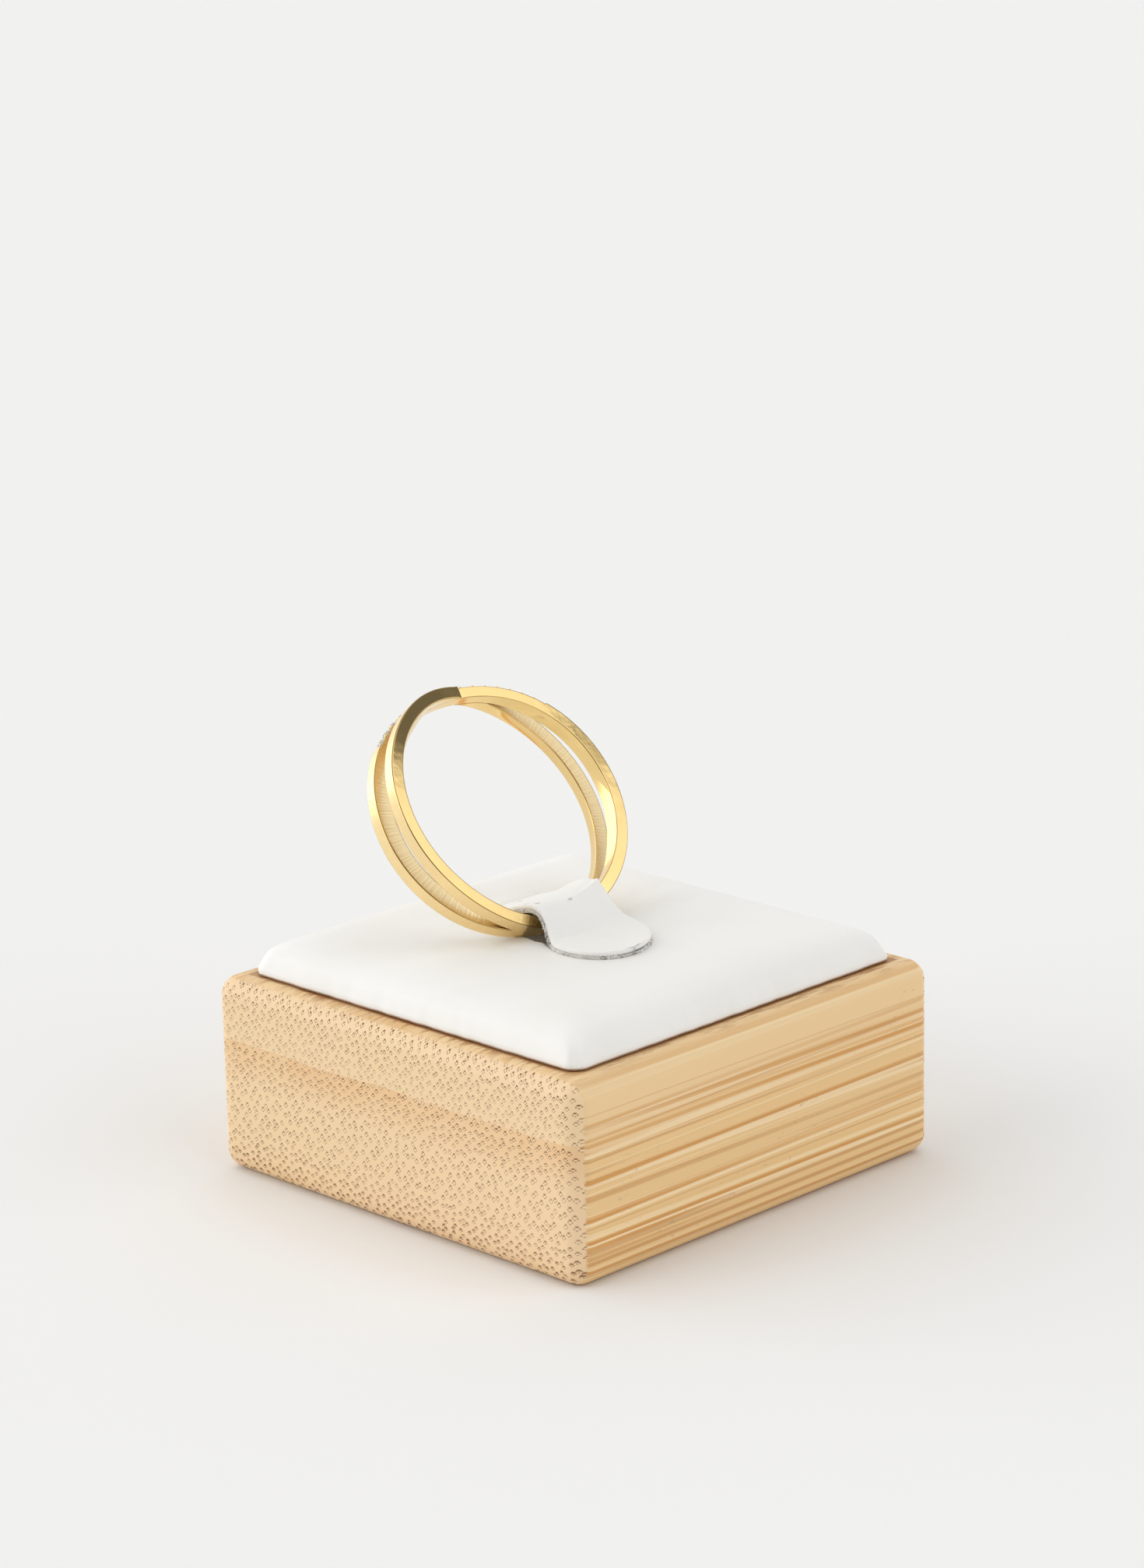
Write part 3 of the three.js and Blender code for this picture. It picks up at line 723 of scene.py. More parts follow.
def run_relief(angle, axial):
    """Depth of the run of stones: its floor, with a short ramp at each end, and a round seat
    depth * (1 - (distance / radius)^2) under each stone."""
    ring = settings("ring_sizes")
    outside = ring.bore_radius + ring.band_thickness
    stones = stone_angles()
    half = ring.stone_pitch * len(stones) / 2
    edge = (half - np.abs(angle - ring.run_centre)) * outside / RUN_RAMP
    floor = ring.run_depth * smooth(edge)
    nearest = np.clip(np.round((angle - stones[0]) / ring.stone_pitch), 0, len(stones) - 1)
    nearest = stones[0] + nearest * ring.stone_pitch
    distance = np.hypot((angle - nearest) * outside, axial - strand_axial(nearest))
    seat_radius = ring.stone_diameter / 2 + SEAT_MARGIN
    seat = SEAT_DEPTH * ring.stone_diameter * np.clip(1 - (distance / seat_radius) ** 2, 0, 1)
    return floor + seat * (edge >= 1)


def first_strand():
    """The strand that carries the stones, a whole closed hoop."""
    ring = settings("ring_sizes")
    half = ring.stone_pitch * len(STONE_NODES) / 2 + RUN_MARGIN
    start, stop = ring.run_centre - half, ring.run_centre + half
    fine = np.arange(start, stop, RUN_STEP)
    rest = np.linspace(stop, start + 2 * np.pi, REST_STATIONS)[:-1]
    angle = np.concatenate([fine, rest])
    middle = strand_axial(angle)
    edge = np.full(angle.shape, ring.edge_round)
    half_width = ring.strand_width / 2
    shares = np.concatenate([[0.0, 0.012], np.linspace(0, 1, OUTSIDE_LINES)[1:-1], [0.988, 1.0]])

    def relief(at, axial):
        wrapped = (at - ring.run_centre + np.pi) % (2 * np.pi) - np.pi + ring.run_centre
        return run_relief(wrapped, axial)

    points, faces, side, station = bar_shell(
        angle, middle - half_width, middle + half_width, edge, edge, shares, True,
        middle > 0, relief)
    parted = np.abs(middle[station]) > half_width
    slot_side = np.where(middle[station] > 0, 2, 1)
    return points, faces, ((side == slot_side) & parted).astype(int), angle, shares


def second_strand(side_sign):
    """Half of the plain strand, between two crossings, where it lies beside the first. It is cut
    off at the first strand's edge, with a small lap inside it."""
    ring = settings("ring_sizes")
    even = np.linspace(0, 1, HALF_STATIONS)
    share = 0.25 - 0.25 * np.cos(even * np.pi) + 0.5 * even
    angle = ring.crossing + side_sign * np.pi * share
    reach = np.abs(strand_axial(angle))
    half_width = ring.strand_width / 2
    high = reach + half_width
    butt = half_width - reach - LAP
    low = np.maximum(reach - half_width, butt)
    edge_high = np.minimum(ring.edge_round, WIDEST_EDGE * (high - low))
    edge_low = np.minimum(edge_high, np.clip((low - butt) / 2, 0, None))
    points, faces, side, station = bar_shell(
        angle, low, high, edge_low, edge_high, FACE_SHARES, False, reach > 0, None, side_sign)
    satin = ((side == 2) & (reach[station] > half_width)).astype(int)
    faces = [*faces, *cap_faces(*points.shape[:2])]
    return points, faces, np.concatenate([satin, [0, 0]]), angle, FACE_SHARES


def bead_shells():
    """Small round beads between the stones, in pairs at the strand's two edges:
    centre + radius * (cos(v) cos(u), cos(v) sin(u), sin(v))."""
    ring = settings("ring_sizes")
    stones = stone_angles()
    between = (stones[:-1] + stones[1:]) / 2
    offset = ring.strand_width / 2 - ring.bead_radius - BEAD_INSET
    u, v = np.meshgrid(np.linspace(0, 2 * np.pi, BEAD_ROUND + 1)[:-1],
                       np.linspace(-np.pi / 2, np.pi / 2, BEAD_LEVELS), indexing="ij")
    ball = ring.bead_radius * np.stack(
        [np.cos(v) * np.cos(u), np.cos(v) * np.sin(u), np.sin(v)], -1)
    run_radius = ring.bore_radius + ring.band_thickness - ring.run_depth
    shells = []
    for angle in between:
        for side in (-1, 1):
            centre = ring_points(angle, run_radius, strand_axial(angle) + side * offset)
            shells.append((ball + centre, grid_faces(BEAD_ROUND, BEAD_LEVELS, True), 0))
    return shells


class RING_OT_band(bpy.types.Operator):
    """Adds the gold band: two crossing strands, the lowered run and its beads"""

    bl_idname = "ring_stand.band"
    bl_label = "Band"

    def execute(self, context):
        ring = settings("ring_sizes")
        outside = ring.bore_radius + ring.band_thickness
        shells, marks = [], []
        for strand in (first_strand(), second_strand(1), second_strand(-1)):
            points, faces, index, angle, shares = strand
            shells.append((points, faces, index))
            # Marks for the materials: painted reflection on the rounded edges, the outside faces with
            # their painted sheen, and painted reflection towards the slot's ends
            edge, outer = section_table(shares)[:, 5:7].T
            slot = np.abs(strand_axial(angle)) - ring.strand_width / 2
            nook_reflection = np.clip(1 - slot / NOOK_REFLECTION, 0, 1) ** 1.5
            marks.append([np.repeat(angle * outside, len(edge)), np.tile(edge, len(angle)),
                          np.tile(outer, len(angle)), np.repeat(nook_reflection, len(edge))])
        band = add_mesh("ring_polished", shells, [gold_material(), satin_gold_material()])
        for name, values in zip(("along_ring", "edge", "outer", "nook_reflection"), zip(*marks)):
            store(band, name, np.concatenate(values))
        dress(band, "ring_band")
        beads = add_mesh("ring_beads", bead_shells(), [band.data.materials[0]], weld=WELD)
        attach(beads, ROOT)
        return {"FINISHED"}


# The stones

# How high the stones' girdles stand above the run's floor
STONE_RISE = 0.01 * MM
STONE_CORNERS = 8
STONE_PROFILE = (
    # (share of the diameter out from the axis, share up, turn of the corners in half steps)
    (0.28, 0.145, 0), (0.385, 0.085, 1), (0.5, 0.012, 0), (0.5, -0.03, 0),
    (0.26, -0.22, 1), (0.03, -0.43, 0),
)


def brilliant(diameter):
    """A round cut stone about Z as rings of corners, each ring turned by half a step as its
    profile row says, with a flat table and a small flat point."""
    out, up, turns = np.array(STONE_PROFILE).T[..., None]
    step = 2 * np.pi / STONE_CORNERS
    angle = np.arange(STONE_CORNERS) * step + turns * step / 2
    points = np.broadcast_arrays(out * np.cos(angle), out * np.sin(angle), up)
    points = np.stack(points, -1) * diameter
    faces = []
    for i, lead in enumerate(np.diff(turns[:, 0])):
        for j in range(STONE_CORNERS):
            a, b = i * STONE_CORNERS + j, i * STONE_CORNERS + (j + 1) % STONE_CORNERS
            c, d = a + STONE_CORNERS, b + STONE_CORNERS
            if lead > 0:
                faces += [(a, b, c), (b, d, c)]
            elif lead < 0:
                faces += [(a, b, d), (a, d, c)]
            else:
                faces += [(a, b, d, c)]
    return points.reshape(-1, 3), [*faces, *cap_faces(len(turns), STONE_CORNERS)]


class RING_OT_stones(bpy.types.Operator):
    """Adds the clear cut stones, one in each seat"""

    bl_idname = "ring_stand.stones"
    bl_label = "Stones"

    def execute(self, context):
        ring = settings("ring_sizes")
        shape, faces = brilliant(ring.stone_diameter)
        glass = stone_material()
        seat = ring.bore_radius + ring.band_thickness - ring.run_depth + STONE_RISE
        up, side, axis = ring_axes()
        for node, angle in zip(STONE_NODES, stone_angles()):
            out = np.cos(angle) * up + np.sin(angle) * side
            along = np.cross(axis, out)
            foot = ring_points(angle, seat, strand_axial(angle))
            points = foot + shape @ np.array([axis, along, out])
            stone = add_mesh(f"cut_{node}", [(points, faces, 0)], [glass], smooth=False)
            dress(stone, node)
        return {"FINISHED"}


# The block

# Steps along a rounded edge, and grid lines across the flat part of a face
EDGE_STEPS, FLAT_LINES = 8, 25


def rounded_box(low, high, edge):
    """Six face grids of a box: each point q of the sharp box becomes c + edge * (q - c) / |q - c|,
    where c is q held inside the box shrunk by the edge radius."""
    centre, half = (low + high) / 2, (high - low) / 2
    curve = np.tan(np.linspace(0, np.pi / 4, EDGE_STEPS + 1))[1:] * edge
    lines = [np.concatenate([-inner - curve[::-1], np.linspace(-inner, inner, FLAT_LINES),
                             inner + curve]) for inner in half - edge]
    shells = []
    for normal_axis in range(3):
        u_axis, v_axis = (normal_axis + 1) % 3, (normal_axis + 2) % 3
        for sign in (-1, 1):
            u, v = np.meshgrid(lines[u_axis], lines[v_axis], indexing="ij")
            q = np.zeros((*u.shape, 3))
            q[..., normal_axis], q[..., u_axis], q[..., v_axis] = sign * half[normal_axis], u, v
            core = np.clip(q, -(half - edge), half - edge)
            away = q - core
            q = core + edge * away / np.linalg.norm(away, axis=-1, keepdims=True)
            shells.append((q + centre, grid_faces(*u.shape), 0))
    return shells


class RING_OT_block(bpy.types.Operator):
    """Adds the bamboo block with its rounded edges"""

    bl_idname = "ring_stand.block"
    bl_label = "Block"

    def execute(self, context):
        block = add_mesh("block_bamboo", rounded_box(
            np.array(BLOCK_LOW), np.array(BLOCK_HIGH), settings("stand_sizes").block_edge),
            [bamboo_material()], weld=WELD)
        dress(block, "bamboo_block")
        return {"FINISHED"}


# The cushion

PAD_CROWN = (
    # (share of the outline, share of the crown's height)
    (0.0, 1.0), (0.5, 1.0), (0.66, 0.98), (0.8, 0.91), (0.9, 0.76), (0.955, 0.55), (0.985, 0.3),
    (1.0, 0.0),
)

PAD_SKIRT = (
    # (share of the way from the rim down to the base, share drawn in)
    (0.35, 0.0), (0.62, 0.0002), (0.82, 0.004), (1.0, 0.014),
)

# Ends of the finely spaced grid lines round the pocket, the two spacings, the share of the
# outline that the coarse lines reach, and the shares at which the rim's lines lie inside it
FINE_X = (-9.6 * MM, 8.9 * MM)
FINE_Y = (-6.2 * MM, 4.6 * MM)
FINE_STEP, COARSE_STEP = 0.1 * MM, 0.5 * MM
COARSE_REACH = 0.9
RIM_LINES = np.array([0.0, 0.004, 0.009, 0.015, 0.022, 0.03, 0.04, 0.052, 0.067, 0.085])

# Where the open pocket ends ahead of the shank, and how long its end slopes
POCKET_END = (0.5 * MM, 1.1 * MM)
# Below the tip: how much of the clearance is closed, how far the floor rises, how far it is white
TIP_CLOSED, TIP_RISE, TIP_WHITE = 0.9, 0.84, 0.6
# Width of the pocket's ragged wall
POCKET_WALL = 0.16 * MM
# Width of the ragged pocket's raised lip, its height, and how uneven the pocket's outline is
LIP_WIDTH, LIP_HEIGHT = 0.5 * MM, 0.05 * MM
POCKET_RAG = 0.04 * MM
# Gap between the ring and the dent below it
DENT_GAP = 0.06 * MM
# Unevenness of the stuffing and of the outline, and depth and inset of the tucks at the corners
STUFFING_UNEVEN, OUTLINE_WAVE = 0.06 * MM, 0.05 * MM
TUCK_DEPTH, TUCK_INSET = 0.22 * MM, 0.12 * MM
# Height of the glue line on the hem, and how it fades
GLUE_HEIGHT, GLUE_FADE = 0.3 * MM, 0.14 * MM

# Places and shares along the tongue at which its form is given
TONGUE_COURSE = (
    # (along: -1 root, 0 shank, 1 tip; lift of the underside; share of cup and roll; share of width)
    (-1.0, 0.0, 0.0, 1.1), (-0.88, 0.0, 0.0, 1.1), (-0.72, 0.2, 0.1, 1.08),
    (-0.52, 0.45, 0.25, 1.05), (-0.3, 0.77, 0.6, 1.02), (-0.08, 0.99, 1.0, 1.0),
    (0.05, 1.0, 1.0, 1.0), (0.12, 0.83, 1.0, 1.02), (0.18, 0.6, 1.0, 1.06),
    (0.24, 0.41, 0.75, 1.12), (0.31, 0.26, 0.35, 1.18), (0.41, 0.2, 0.1, 1.24),
    (0.55, 0.19, 0.0, 1.22), (0.7, 0.19, 0.0, 1.12), (0.83, 0.19, 0.0, 0.92),
    (0.92, 0.19, 0.0, 0.68), (0.98, 0.19, 0.0, 0.36), (1.0, 0.19, 0.0, 0.06),
)


def smooth_table(table, share):
    """Columns of a table at shares from 0 to 1 of its rows: Hermite cubics whose slopes are half
    the difference of the neighbours."""
    rows = np.array(table, float)
    slope = np.gradient(rows, axis=0)
    at = np.clip(share, 0, 1) * (len(rows) - 1)
    k = np.minimum(at.astype(int), len(rows) - 2)
    t = (at - k)[..., None]
    return ((2 * t**3 - 3 * t**2 + 1) * rows[k] + (t**3 - 2 * t**2 + t) * slope[k]
            + (-2 * t**3 + 3 * t**2) * rows[k + 1] + (t**3 - t**2) * slope[k + 1])


def lean_place(angle, radius, axial):
    """X from the ring's centre, before the ring is turned, and Z of a place on the leaning ring."""
    lean, upwards = settings("ring_sizes").lean, radius * np.cos(angle)
    return (axial * np.cos(lean) - upwards * np.sin(lean),
            ring_centre()[2] + upwards * np.cos(lean) + axial * np.sin(lean))


def lean_angle(x, y, radius):
    """How far (x, y) lies forward of the ring's centre, along the turned ring's axis, and the ring
    angle at which a circle of that radius passes it, near the foot."""
    ring, centre = settings("ring_sizes"), ring_centre()
    x, y = x - centre[0], y - centre[1]
    forward = x * np.cos(ring.turn) + y * np.sin(ring.turn)
    sideways = y * np.cos(ring.turn) - x * np.sin(ring.turn)
    return forward, np.pi - np.arcsin(np.clip(-sideways / radius, -1, 1))


def ring_dent(x, y):
    """Highest the cushion may stand below each strand: the lowest corner of the strand above
    (x, y), plus the slopes of its two faces that meet there, less a small gap."""
    ring = settings("ring_sizes")
    outside = ring.bore_radius + ring.band_thickness
    forward, angle = lean_angle(x, y, outside)
    limits = []
    for mirror in (-1, 1):
        corner_x, corner_z = lean_place(
            angle, outside, mirror * strand_axial(angle) - ring.strand_width / 2)
        ahead = forward - corner_x
        limits.append(corner_z + np.maximum(ahead * np.tan(ring.lean), -ahead / np.tan(ring.lean)))
    return np.minimum(*limits) - DENT_GAP


def shank_top(x, y):
    """Height of the lower shank at (x, y): its near edge in the bore, less the slope of the bore
    behind that edge and of the side face in front of it."""
    ring = settings("ring_sizes")
    forward, angle = lean_angle(x, y, ring.bore_radius)
    edge_x, edge_z = lean_place(
        angle, ring.bore_radius, np.abs(strand_axial(angle)) + ring.strand_width / 2)
    ahead = forward - edge_x
    return edge_z - np.maximum(-ahead * np.tan(ring.lean), ahead / np.tan(ring.lean))


def shank_edge():
    """X and Z of the bore's near edge at the foot of the shank, which the tongue runs over."""
    ring = settings("ring_sizes")
    x, z = lean_place(np.pi, ring.bore_radius, ring.strand_width / 2)
    return ring_centre()[0] + x, z


def tongue_course(share):
    """X, underside Z, share of the cup and half width of the tongue at shares from 0 at its root
    to 1 at its tip."""
    stand = settings("stand_sizes")
    edge_x, edge_z = shank_edge()
    floor = PAD_HIGH.z - stand.pocket_depth
    clear = edge_z + settings("ring_sizes").seat_gap - floor
    along, lift, cup, width = smooth_table(TONGUE_COURSE, share).T
    x = edge_x + along * np.where(along < 0, stand.tongue_back, stand.tongue_front)
    return (x, floor + np.maximum(lift, 0) * clear, cup,
            np.maximum(width, 0.02) * stand.tongue_width / 2)


def tongue_middle(x):
    """Y of the tongue's middle line, which drifts sideways as it runs forward."""
    stand = settings("stand_sizes")
    return stand.tongue_centre_y + stand.tongue_sidestep * (x - shank_edge()[0])


def under_tip(x, start=1.6 * MM, ramp=1.6 * MM):
    """0 where the tongue stands off the cushion, rising to 1 where its tip lies flat on it."""
    return smooth((x - shank_edge()[0] - start) / ramp)


def pocket_distance(x, y):
    """How far inside the pocket's outline a point lies, negative outside."""
    stand = settings("stand_sizes")
    line_x, _, _, line_width = tongue_course(np.linspace(0, 1, 200))
    gap = stand.pocket_clearance * (1 - TIP_CLOSED * under_tip(line_x, *POCKET_END))
    line_x = line_x + gap * np.clip((line_x - shank_edge()[0]) / stand.tongue_front, 0, None)
    reach = np.interp(x, line_x, line_width + gap)
    slope = np.interp(x, line_x, np.gradient(line_width, line_x))
    across = (reach - np.abs(y - tongue_middle(x))) / np.sqrt(1 + slope**2)
    start = line_x[0] + stand.root_overlap
    return np.minimum(across, np.minimum(x - start, line_x[-1] - x))


def outline_reach(angle, half, radius):
    """Distance from the middle to a square with rounded corners, along each direction."""
    c, s = np.abs(np.cos(angle)), np.abs(np.sin(angle))
    straight = half / np.maximum(c, s)
    corner = half - radius
    middle = corner * (c + s)
    rounded = middle + np.sqrt(np.maximum(middle**2 - 2 * corner**2 + radius**2, 0))
    return np.where(np.minimum(c, s) * straight > corner, rounded, straight)


def spread_lines(half, fine_from, fine_to):
    """Grid lines from -1 to 1: fine between two places, coarse beyond, and crowded at the rim."""
    most = half * COARSE_REACH
    lines = [-half + RIM_LINES * half, half - RIM_LINES * half,
             np.arange(fine_from, fine_to, FINE_STEP), np.arange(-most, fine_from, COARSE_STEP),
             np.arange(fine_to, most, COARSE_STEP)]
    return np.unique(np.round(np.concatenate(lines), 7)) / half


def crown_height(share):
    """Share of the crown's height at a share of the outline: the profile with its bends rounded."""
    fine = np.linspace(0, 1, 400)
    crown = np.interp(fine, *np.array(PAD_CROWN).T)
    kernel = np.hanning(15) / np.hanning(15).sum()
    crown = np.convolve(np.pad(crown, 7, mode="edge"), kernel, "valid")
    crown[-12:] = np.interp(fine[-12:], [fine[-12], 1.0], [crown[-12], 0.0])
    return np.interp(share, fine, crown)


def cushion_top():
    """X, Y and Z of the cushion's top before the pocket is cut: its crown with the slight
    unevenness of the stuffing, and the tucks that gather at its corners."""
    stand = settings("stand_sizes")
    half = (PAD_HIGH.x - PAD_LOW.x) / 2
    hem = PAD_LOW.z + stand.hem_height
    grid_x, grid_y = np.meshgrid(
        spread_lines(half, *FINE_X), spread_lines(half, *FINE_Y), indexing="ij")
    angle = np.arctan2(grid_y, grid_x)
    share = np.maximum(np.abs(grid_x), np.abs(grid_y))
    reach = outline_reach(angle, half, stand.corner_radius)
    x, y = share * reach * np.cos(angle), share * reach * np.sin(angle)
    uneven = ripple((x, 310, 0.4), (y, 270, 1.7), (x + y, 180, 2.2), (x - 2 * y, 140, 0.9))
    z = hem + (PAD_HIGH.z - hem) * crown_height(share)
    z = z + STUFFING_UNEVEN * (uneven - 1) * (1 - share) * share * 4
    diagonal = np.abs(np.abs(np.sin(2 * angle)) - 1)
    tuck = np.exp(-diagonal / 0.004) * np.clip((share - 0.86) / 0.14, 0, 1) ** 2
    fold = tuck * (0.5 + 0.5 * np.sin(angle * 96 + 0.7))
    wave = OUTLINE_WAVE * ripple((angle, 23, 0.3), (angle, 41, 1.1), (angle, 67, 2.0))
    grow = 1 + (wave - TUCK_INSET * fold) / reach * np.clip((share - 0.9) / 0.1, 0, 1)
    return x * grow, y * grow, z - TUCK_DEPTH * fold


def cut_pocket(x, y, z):
    """Cuts the pocket that the tongue left, and the dent below the ring, into the cushion's top.
    Gives its heights and how bare of white skin each point is."""
    depth = settings("stand_sizes").pocket_depth
    inside = pocket_distance(x, y)
    ragged = POCKET_RAG * ripple((x, 5100, 0.2), (y, 6300, 1.3), (x - y, 8800, 0.8))
    drop = smooth((inside + ragged) / POCKET_WALL)
    tip = under_tip(x, *POCKET_END)
    deepest = PAD_HIGH.z - depth + 0.02 * MM
    lip = LIP_HEIGHT * np.exp(-(inside / LIP_WIDTH) ** 2) * (1 - tip)
    z = (z + lip * (1 - drop)) * (1 - drop) + (deepest + TIP_RISE * depth * tip) * drop
    z = np.minimum(z, np.maximum(ring_dent(x, y), deepest))
    return z, np.clip(drop * 1.6 - 0.35, 0, 1) * (1 - TIP_WHITE * tip)


def close_below(surface):
    """Points and faces of the whole cushion: its top, a skirt below the rim, and its base."""
    rows, columns = surface.shape[:2]
    index = np.arange(rows * columns).reshape(rows, columns)
    rim = np.concatenate([index[0], index[1:, -1], index[-1, -2::-1], index[-2:0:-1, 0]])
    top, count = surface.reshape(-1, 3), len(rim)
    skirt = []
    for drop, inset in PAD_SKIRT:
        skirt.append(top[rim] * [1 - inset, 1 - inset, 1 - drop] + [0, 0, PAD_LOW.z * drop])
    points = np.concatenate([top, *skirt, [[0, 0, PAD_LOW.z]]])
    loops = [rim, *(np.arange(count) + len(top) + i * count for i in range(len(skirt)))]
    faces = [grid_faces(rows, columns)]
    for upper, lower in zip(loops[:-1], loops[1:]):
        faces.append(np.stack([upper, np.roll(upper, -1), np.roll(lower, -1), lower], -1))
    last, middle = loops[-1], len(points) - 1
    base = [(last[i], last[(i + 1) % count], middle) for i in range(count)]
    return points, [*np.concatenate(faces), *base]


class RING_OT_pad(bpy.types.Operator):
    """Adds the covered cushion with its crown, tucked corners and pocket"""

    bl_idname = "ring_stand.pad"
    bl_label = "Cushion"

    def execute(self, context):
        x, y, z = cushion_top()
        z, bare = cut_pocket(x, y, z)
        points, faces = close_below(np.stack([x, y, z], -1))
        pad = add_mesh("pad_leatherette", [(points, faces, 0)], [leatherette_material(
            "white_leatherette", speck_scale=210.0, speck_share=0.44)])
        store(pad, "pocket", np.pad(bare.ravel(), (0, len(points) - bare.size)))
        low = PAD_LOW.z + GLUE_HEIGHT - points[:, 2]
        store(pad, "rim", np.clip(low / GLUE_FADE, 0, 1))
        dress(pad, "pad")
        return {"FINISHED"}


# The tongue

TONGUE_STATIONS = 150
TONGUE_COLUMNS = 41
# Angles of the points round a cut edge
CUT_ANGLES = np.radians([30.0, 60.0, 90.0, 120.0, 150.0])
# How far the tongue settles between its root and its tip, and over what length from the root
SETTLE_DEPTH, SETTLE_LENGTH = 0.25 * MM, 3.2 * MM
# How gently the drape over the shank begins, and how far below the tongue it is still felt
DRAPE_SOFTNESS, DRAPE_FADE = 0.12 * MM, 0.8 * MM
# Half width at which the cut edges are full, the least half width, and the depth of the wrinkles
FULL_EDGE_WIDTH, LEAST_HALF_WIDTH = 0.8 * MM, 0.02 * MM
SAG_DEPTH = 0.05 * MM


def strip_section():
    """The closed section of a strip, along its top, round its right edge and back below: the place
    across from -1 to 1, how far a cut edge bulges there, and the depth from 0 to 1."""
    across, flat = np.linspace(-1, 1, TONGUE_COLUMNS), np.zeros(TONGUE_COLUMNS)
    edge, bulge, sink = np.ones(len(CUT_ANGLES)), np.sin(CUT_ANGLES), 0.5 * np.cos(CUT_ANGLES)
    return (np.concatenate([across, edge, across[::-1], -edge]),
            np.concatenate([flat, bulge, flat, bulge]),
            np.concatenate([flat, 0.5 - sink, flat + 1, 0.5 + sink]))


def tongue_layer(top_depth, thickness, inset, roughness, seed):
    """A strip of leatherette, with a section at each station of the course. Its top lies top_depth
    under the tongue's outer face, its edges are drawn in by inset and made uneven by roughness."""
    stand = settings("stand_sizes")
    even = np.linspace(0, 1, TONGUE_STATIONS)
    share = 0.35 * np.sin(even * np.pi / 2) + 0.65 * even
    x, z, cup, width = tongue_course(share)
    step_x, step_z = np.gradient(x), np.gradient(z)
    size = np.hypot(step_x, step_z)
    share, x, z, cup, width, normal_x, normal_z, station = (line[:, None] for line in (
        share, x, z, cup, width, -step_z / size, step_x / size, np.arange(len(x)) * 1.0))
    u, out, v = strip_section()
    side = np.sign(u)

    # The ragged cut edges, and the place of each point before the drape
    ends = np.clip(width / FULL_EDGE_WIDTH, 0, 1)
    rag = roughness * ripple((station, 0.9, seed), (station, 1.7, seed + side),
                             (station, 3.1, 2 * seed), (station + 5 * v, 2.3, seed + 2 * side))
    half = width - inset + rag * ends * np.abs(u) ** 8
    half = np.maximum(half - stand.tongue_trim * cup * np.clip(u, 0, 1), LEAST_HALF_WIDTH)
    raised = cup * (stand.tongue_cup * u**2 + stand.tongue_roll * u)
    settled = SETTLE_DEPTH * (1 - under_tip(x)) * smooth((x - x[0]) / SETTLE_LENGTH)
    height = stand.tongue_stack - settled - top_depth - thickness * v
    tip = np.clip((share - 0.78) / 0.12, 0, 1)
    nibble = roughness * ripple((17 * u, 1.0, seed), (41 * u, 1.0, 2 * seed), (29 * u + v, 1.0, 1.0))
    px = x + normal_x * height + (nibble - inset) * tip
    py = tongue_middle(x) + u * half + side * out * 0.25 * thickness * ends
    pz = z + raised + normal_z * height

    # Where the shank stands higher than that, the whole tongue is draped over it
    under = stand.tongue_stack - settled - stand.skin_thickness - stand.backing_thickness
    short = shank_top(x + normal_x * under, py) + stand.drape_gap - (z + raised + normal_z * under)
    drape = 0.5 * (short + np.sqrt(short**2 + DRAPE_SOFTNESS**2))
    pz = pz + drape * np.clip(1 + short / DRAPE_FADE, 0, 1)
    sag = SAG_DEPTH * ripple((px, 900, seed), (py, 1100, 2.0), (px + py, 700, 1.0))
    points = np.stack([px, py, pz + sag], -1)
    rows, columns = points.shape[:2]
    return points, [*grid_faces(rows, columns, False, True), *cap_faces(rows, columns)], 0


class RING_OT_tongue(bpy.types.Operator):
    """Adds the tongue that holds the ring: a white skin on a rough backing"""

    bl_idname = "ring_stand.tongue"
    bl_label = "Tongue"

    def execute(self, context):
        stand = settings("stand_sizes")
        skin = tongue_layer(
            top_depth=0.0, thickness=stand.skin_thickness, inset=0.02 * MM,
            roughness=0.05 * MM, seed=0.6)
        backing = tongue_layer(
            top_depth=stand.skin_thickness + 0.01 * MM, thickness=stand.backing_thickness,
            inset=-0.03 * MM, roughness=0.13 * MM, seed=1.9)
        white = leatherette_material("white_tongue", speck_scale=620.0, speck_share=0.52)
        for name, layer, material in (
                ("tongue_skin", skin, white), ("tongue_backing", backing, backing_material())):
            dress(add_mesh(name, [layer], [material]), "tongue")
        return {"FINISHED"}


# The studio

PHOTO_HEIGHT = 2014
FOCAL_PIXELS = 5652.0
SENSOR = 36.0
CAMERA_AZIMUTH, CAMERA_ELEVATION, CAMERA_ROLL = np.radians([45.0, 15.83, -1.3])
CAMERA_DISTANCE = 332.5 * MM
CAMERA_RIGHT, CAMERA_RAISE = 0.266 * MM, 28.26 * MM

FLOOR_HALF = 3.0
FLOOR_TONE = (0.86, 0.86, 0.855)
BACKGROUND_TONE = (0.86, 0.86, 0.86)
ROOM_TONE = (1.0, 0.999, 0.993)
ROOM_BASE = 0.97
ROOM_LEAST = 0.16
ROOM_PATCHES = (
    # (direction, half width in degrees, brightness added)
    ((-0.9, -0.4, 0.12), 40.0, 1.35),
    ((0.6, 0.45, 0.67), 42.0, 0.25),
    ((0.95, 0.05, 0.3), 45.0, 0.5),
    ((0.13, 0.75, 0.64), 20.0, -4.5),
    ((0.55, -0.7, 0.48), 40.0, -1.5),
)
WINDOW_DIRECTION = (-0.33, -0.83, 0.45)
WINDOW_SPREAD = np.radians(40)
WINDOW_STRENGTH = 0.6
WINDOW_TONE = (1.0, 0.99, 0.975)


def place_object(name, data, right, up, back, place=(0.0, 0.0, 0.0)):
    """Adds an object with these axes at a place."""
    piece = bpy.data.objects.new(name, data)
    matrix = np.eye(4)
    matrix[:3, :] = np.column_stack([right, up, back, place])
    piece.matrix_world = Matrix(matrix.tolist())
    bpy.context.scene.collection.objects.link(piece)
    return piece


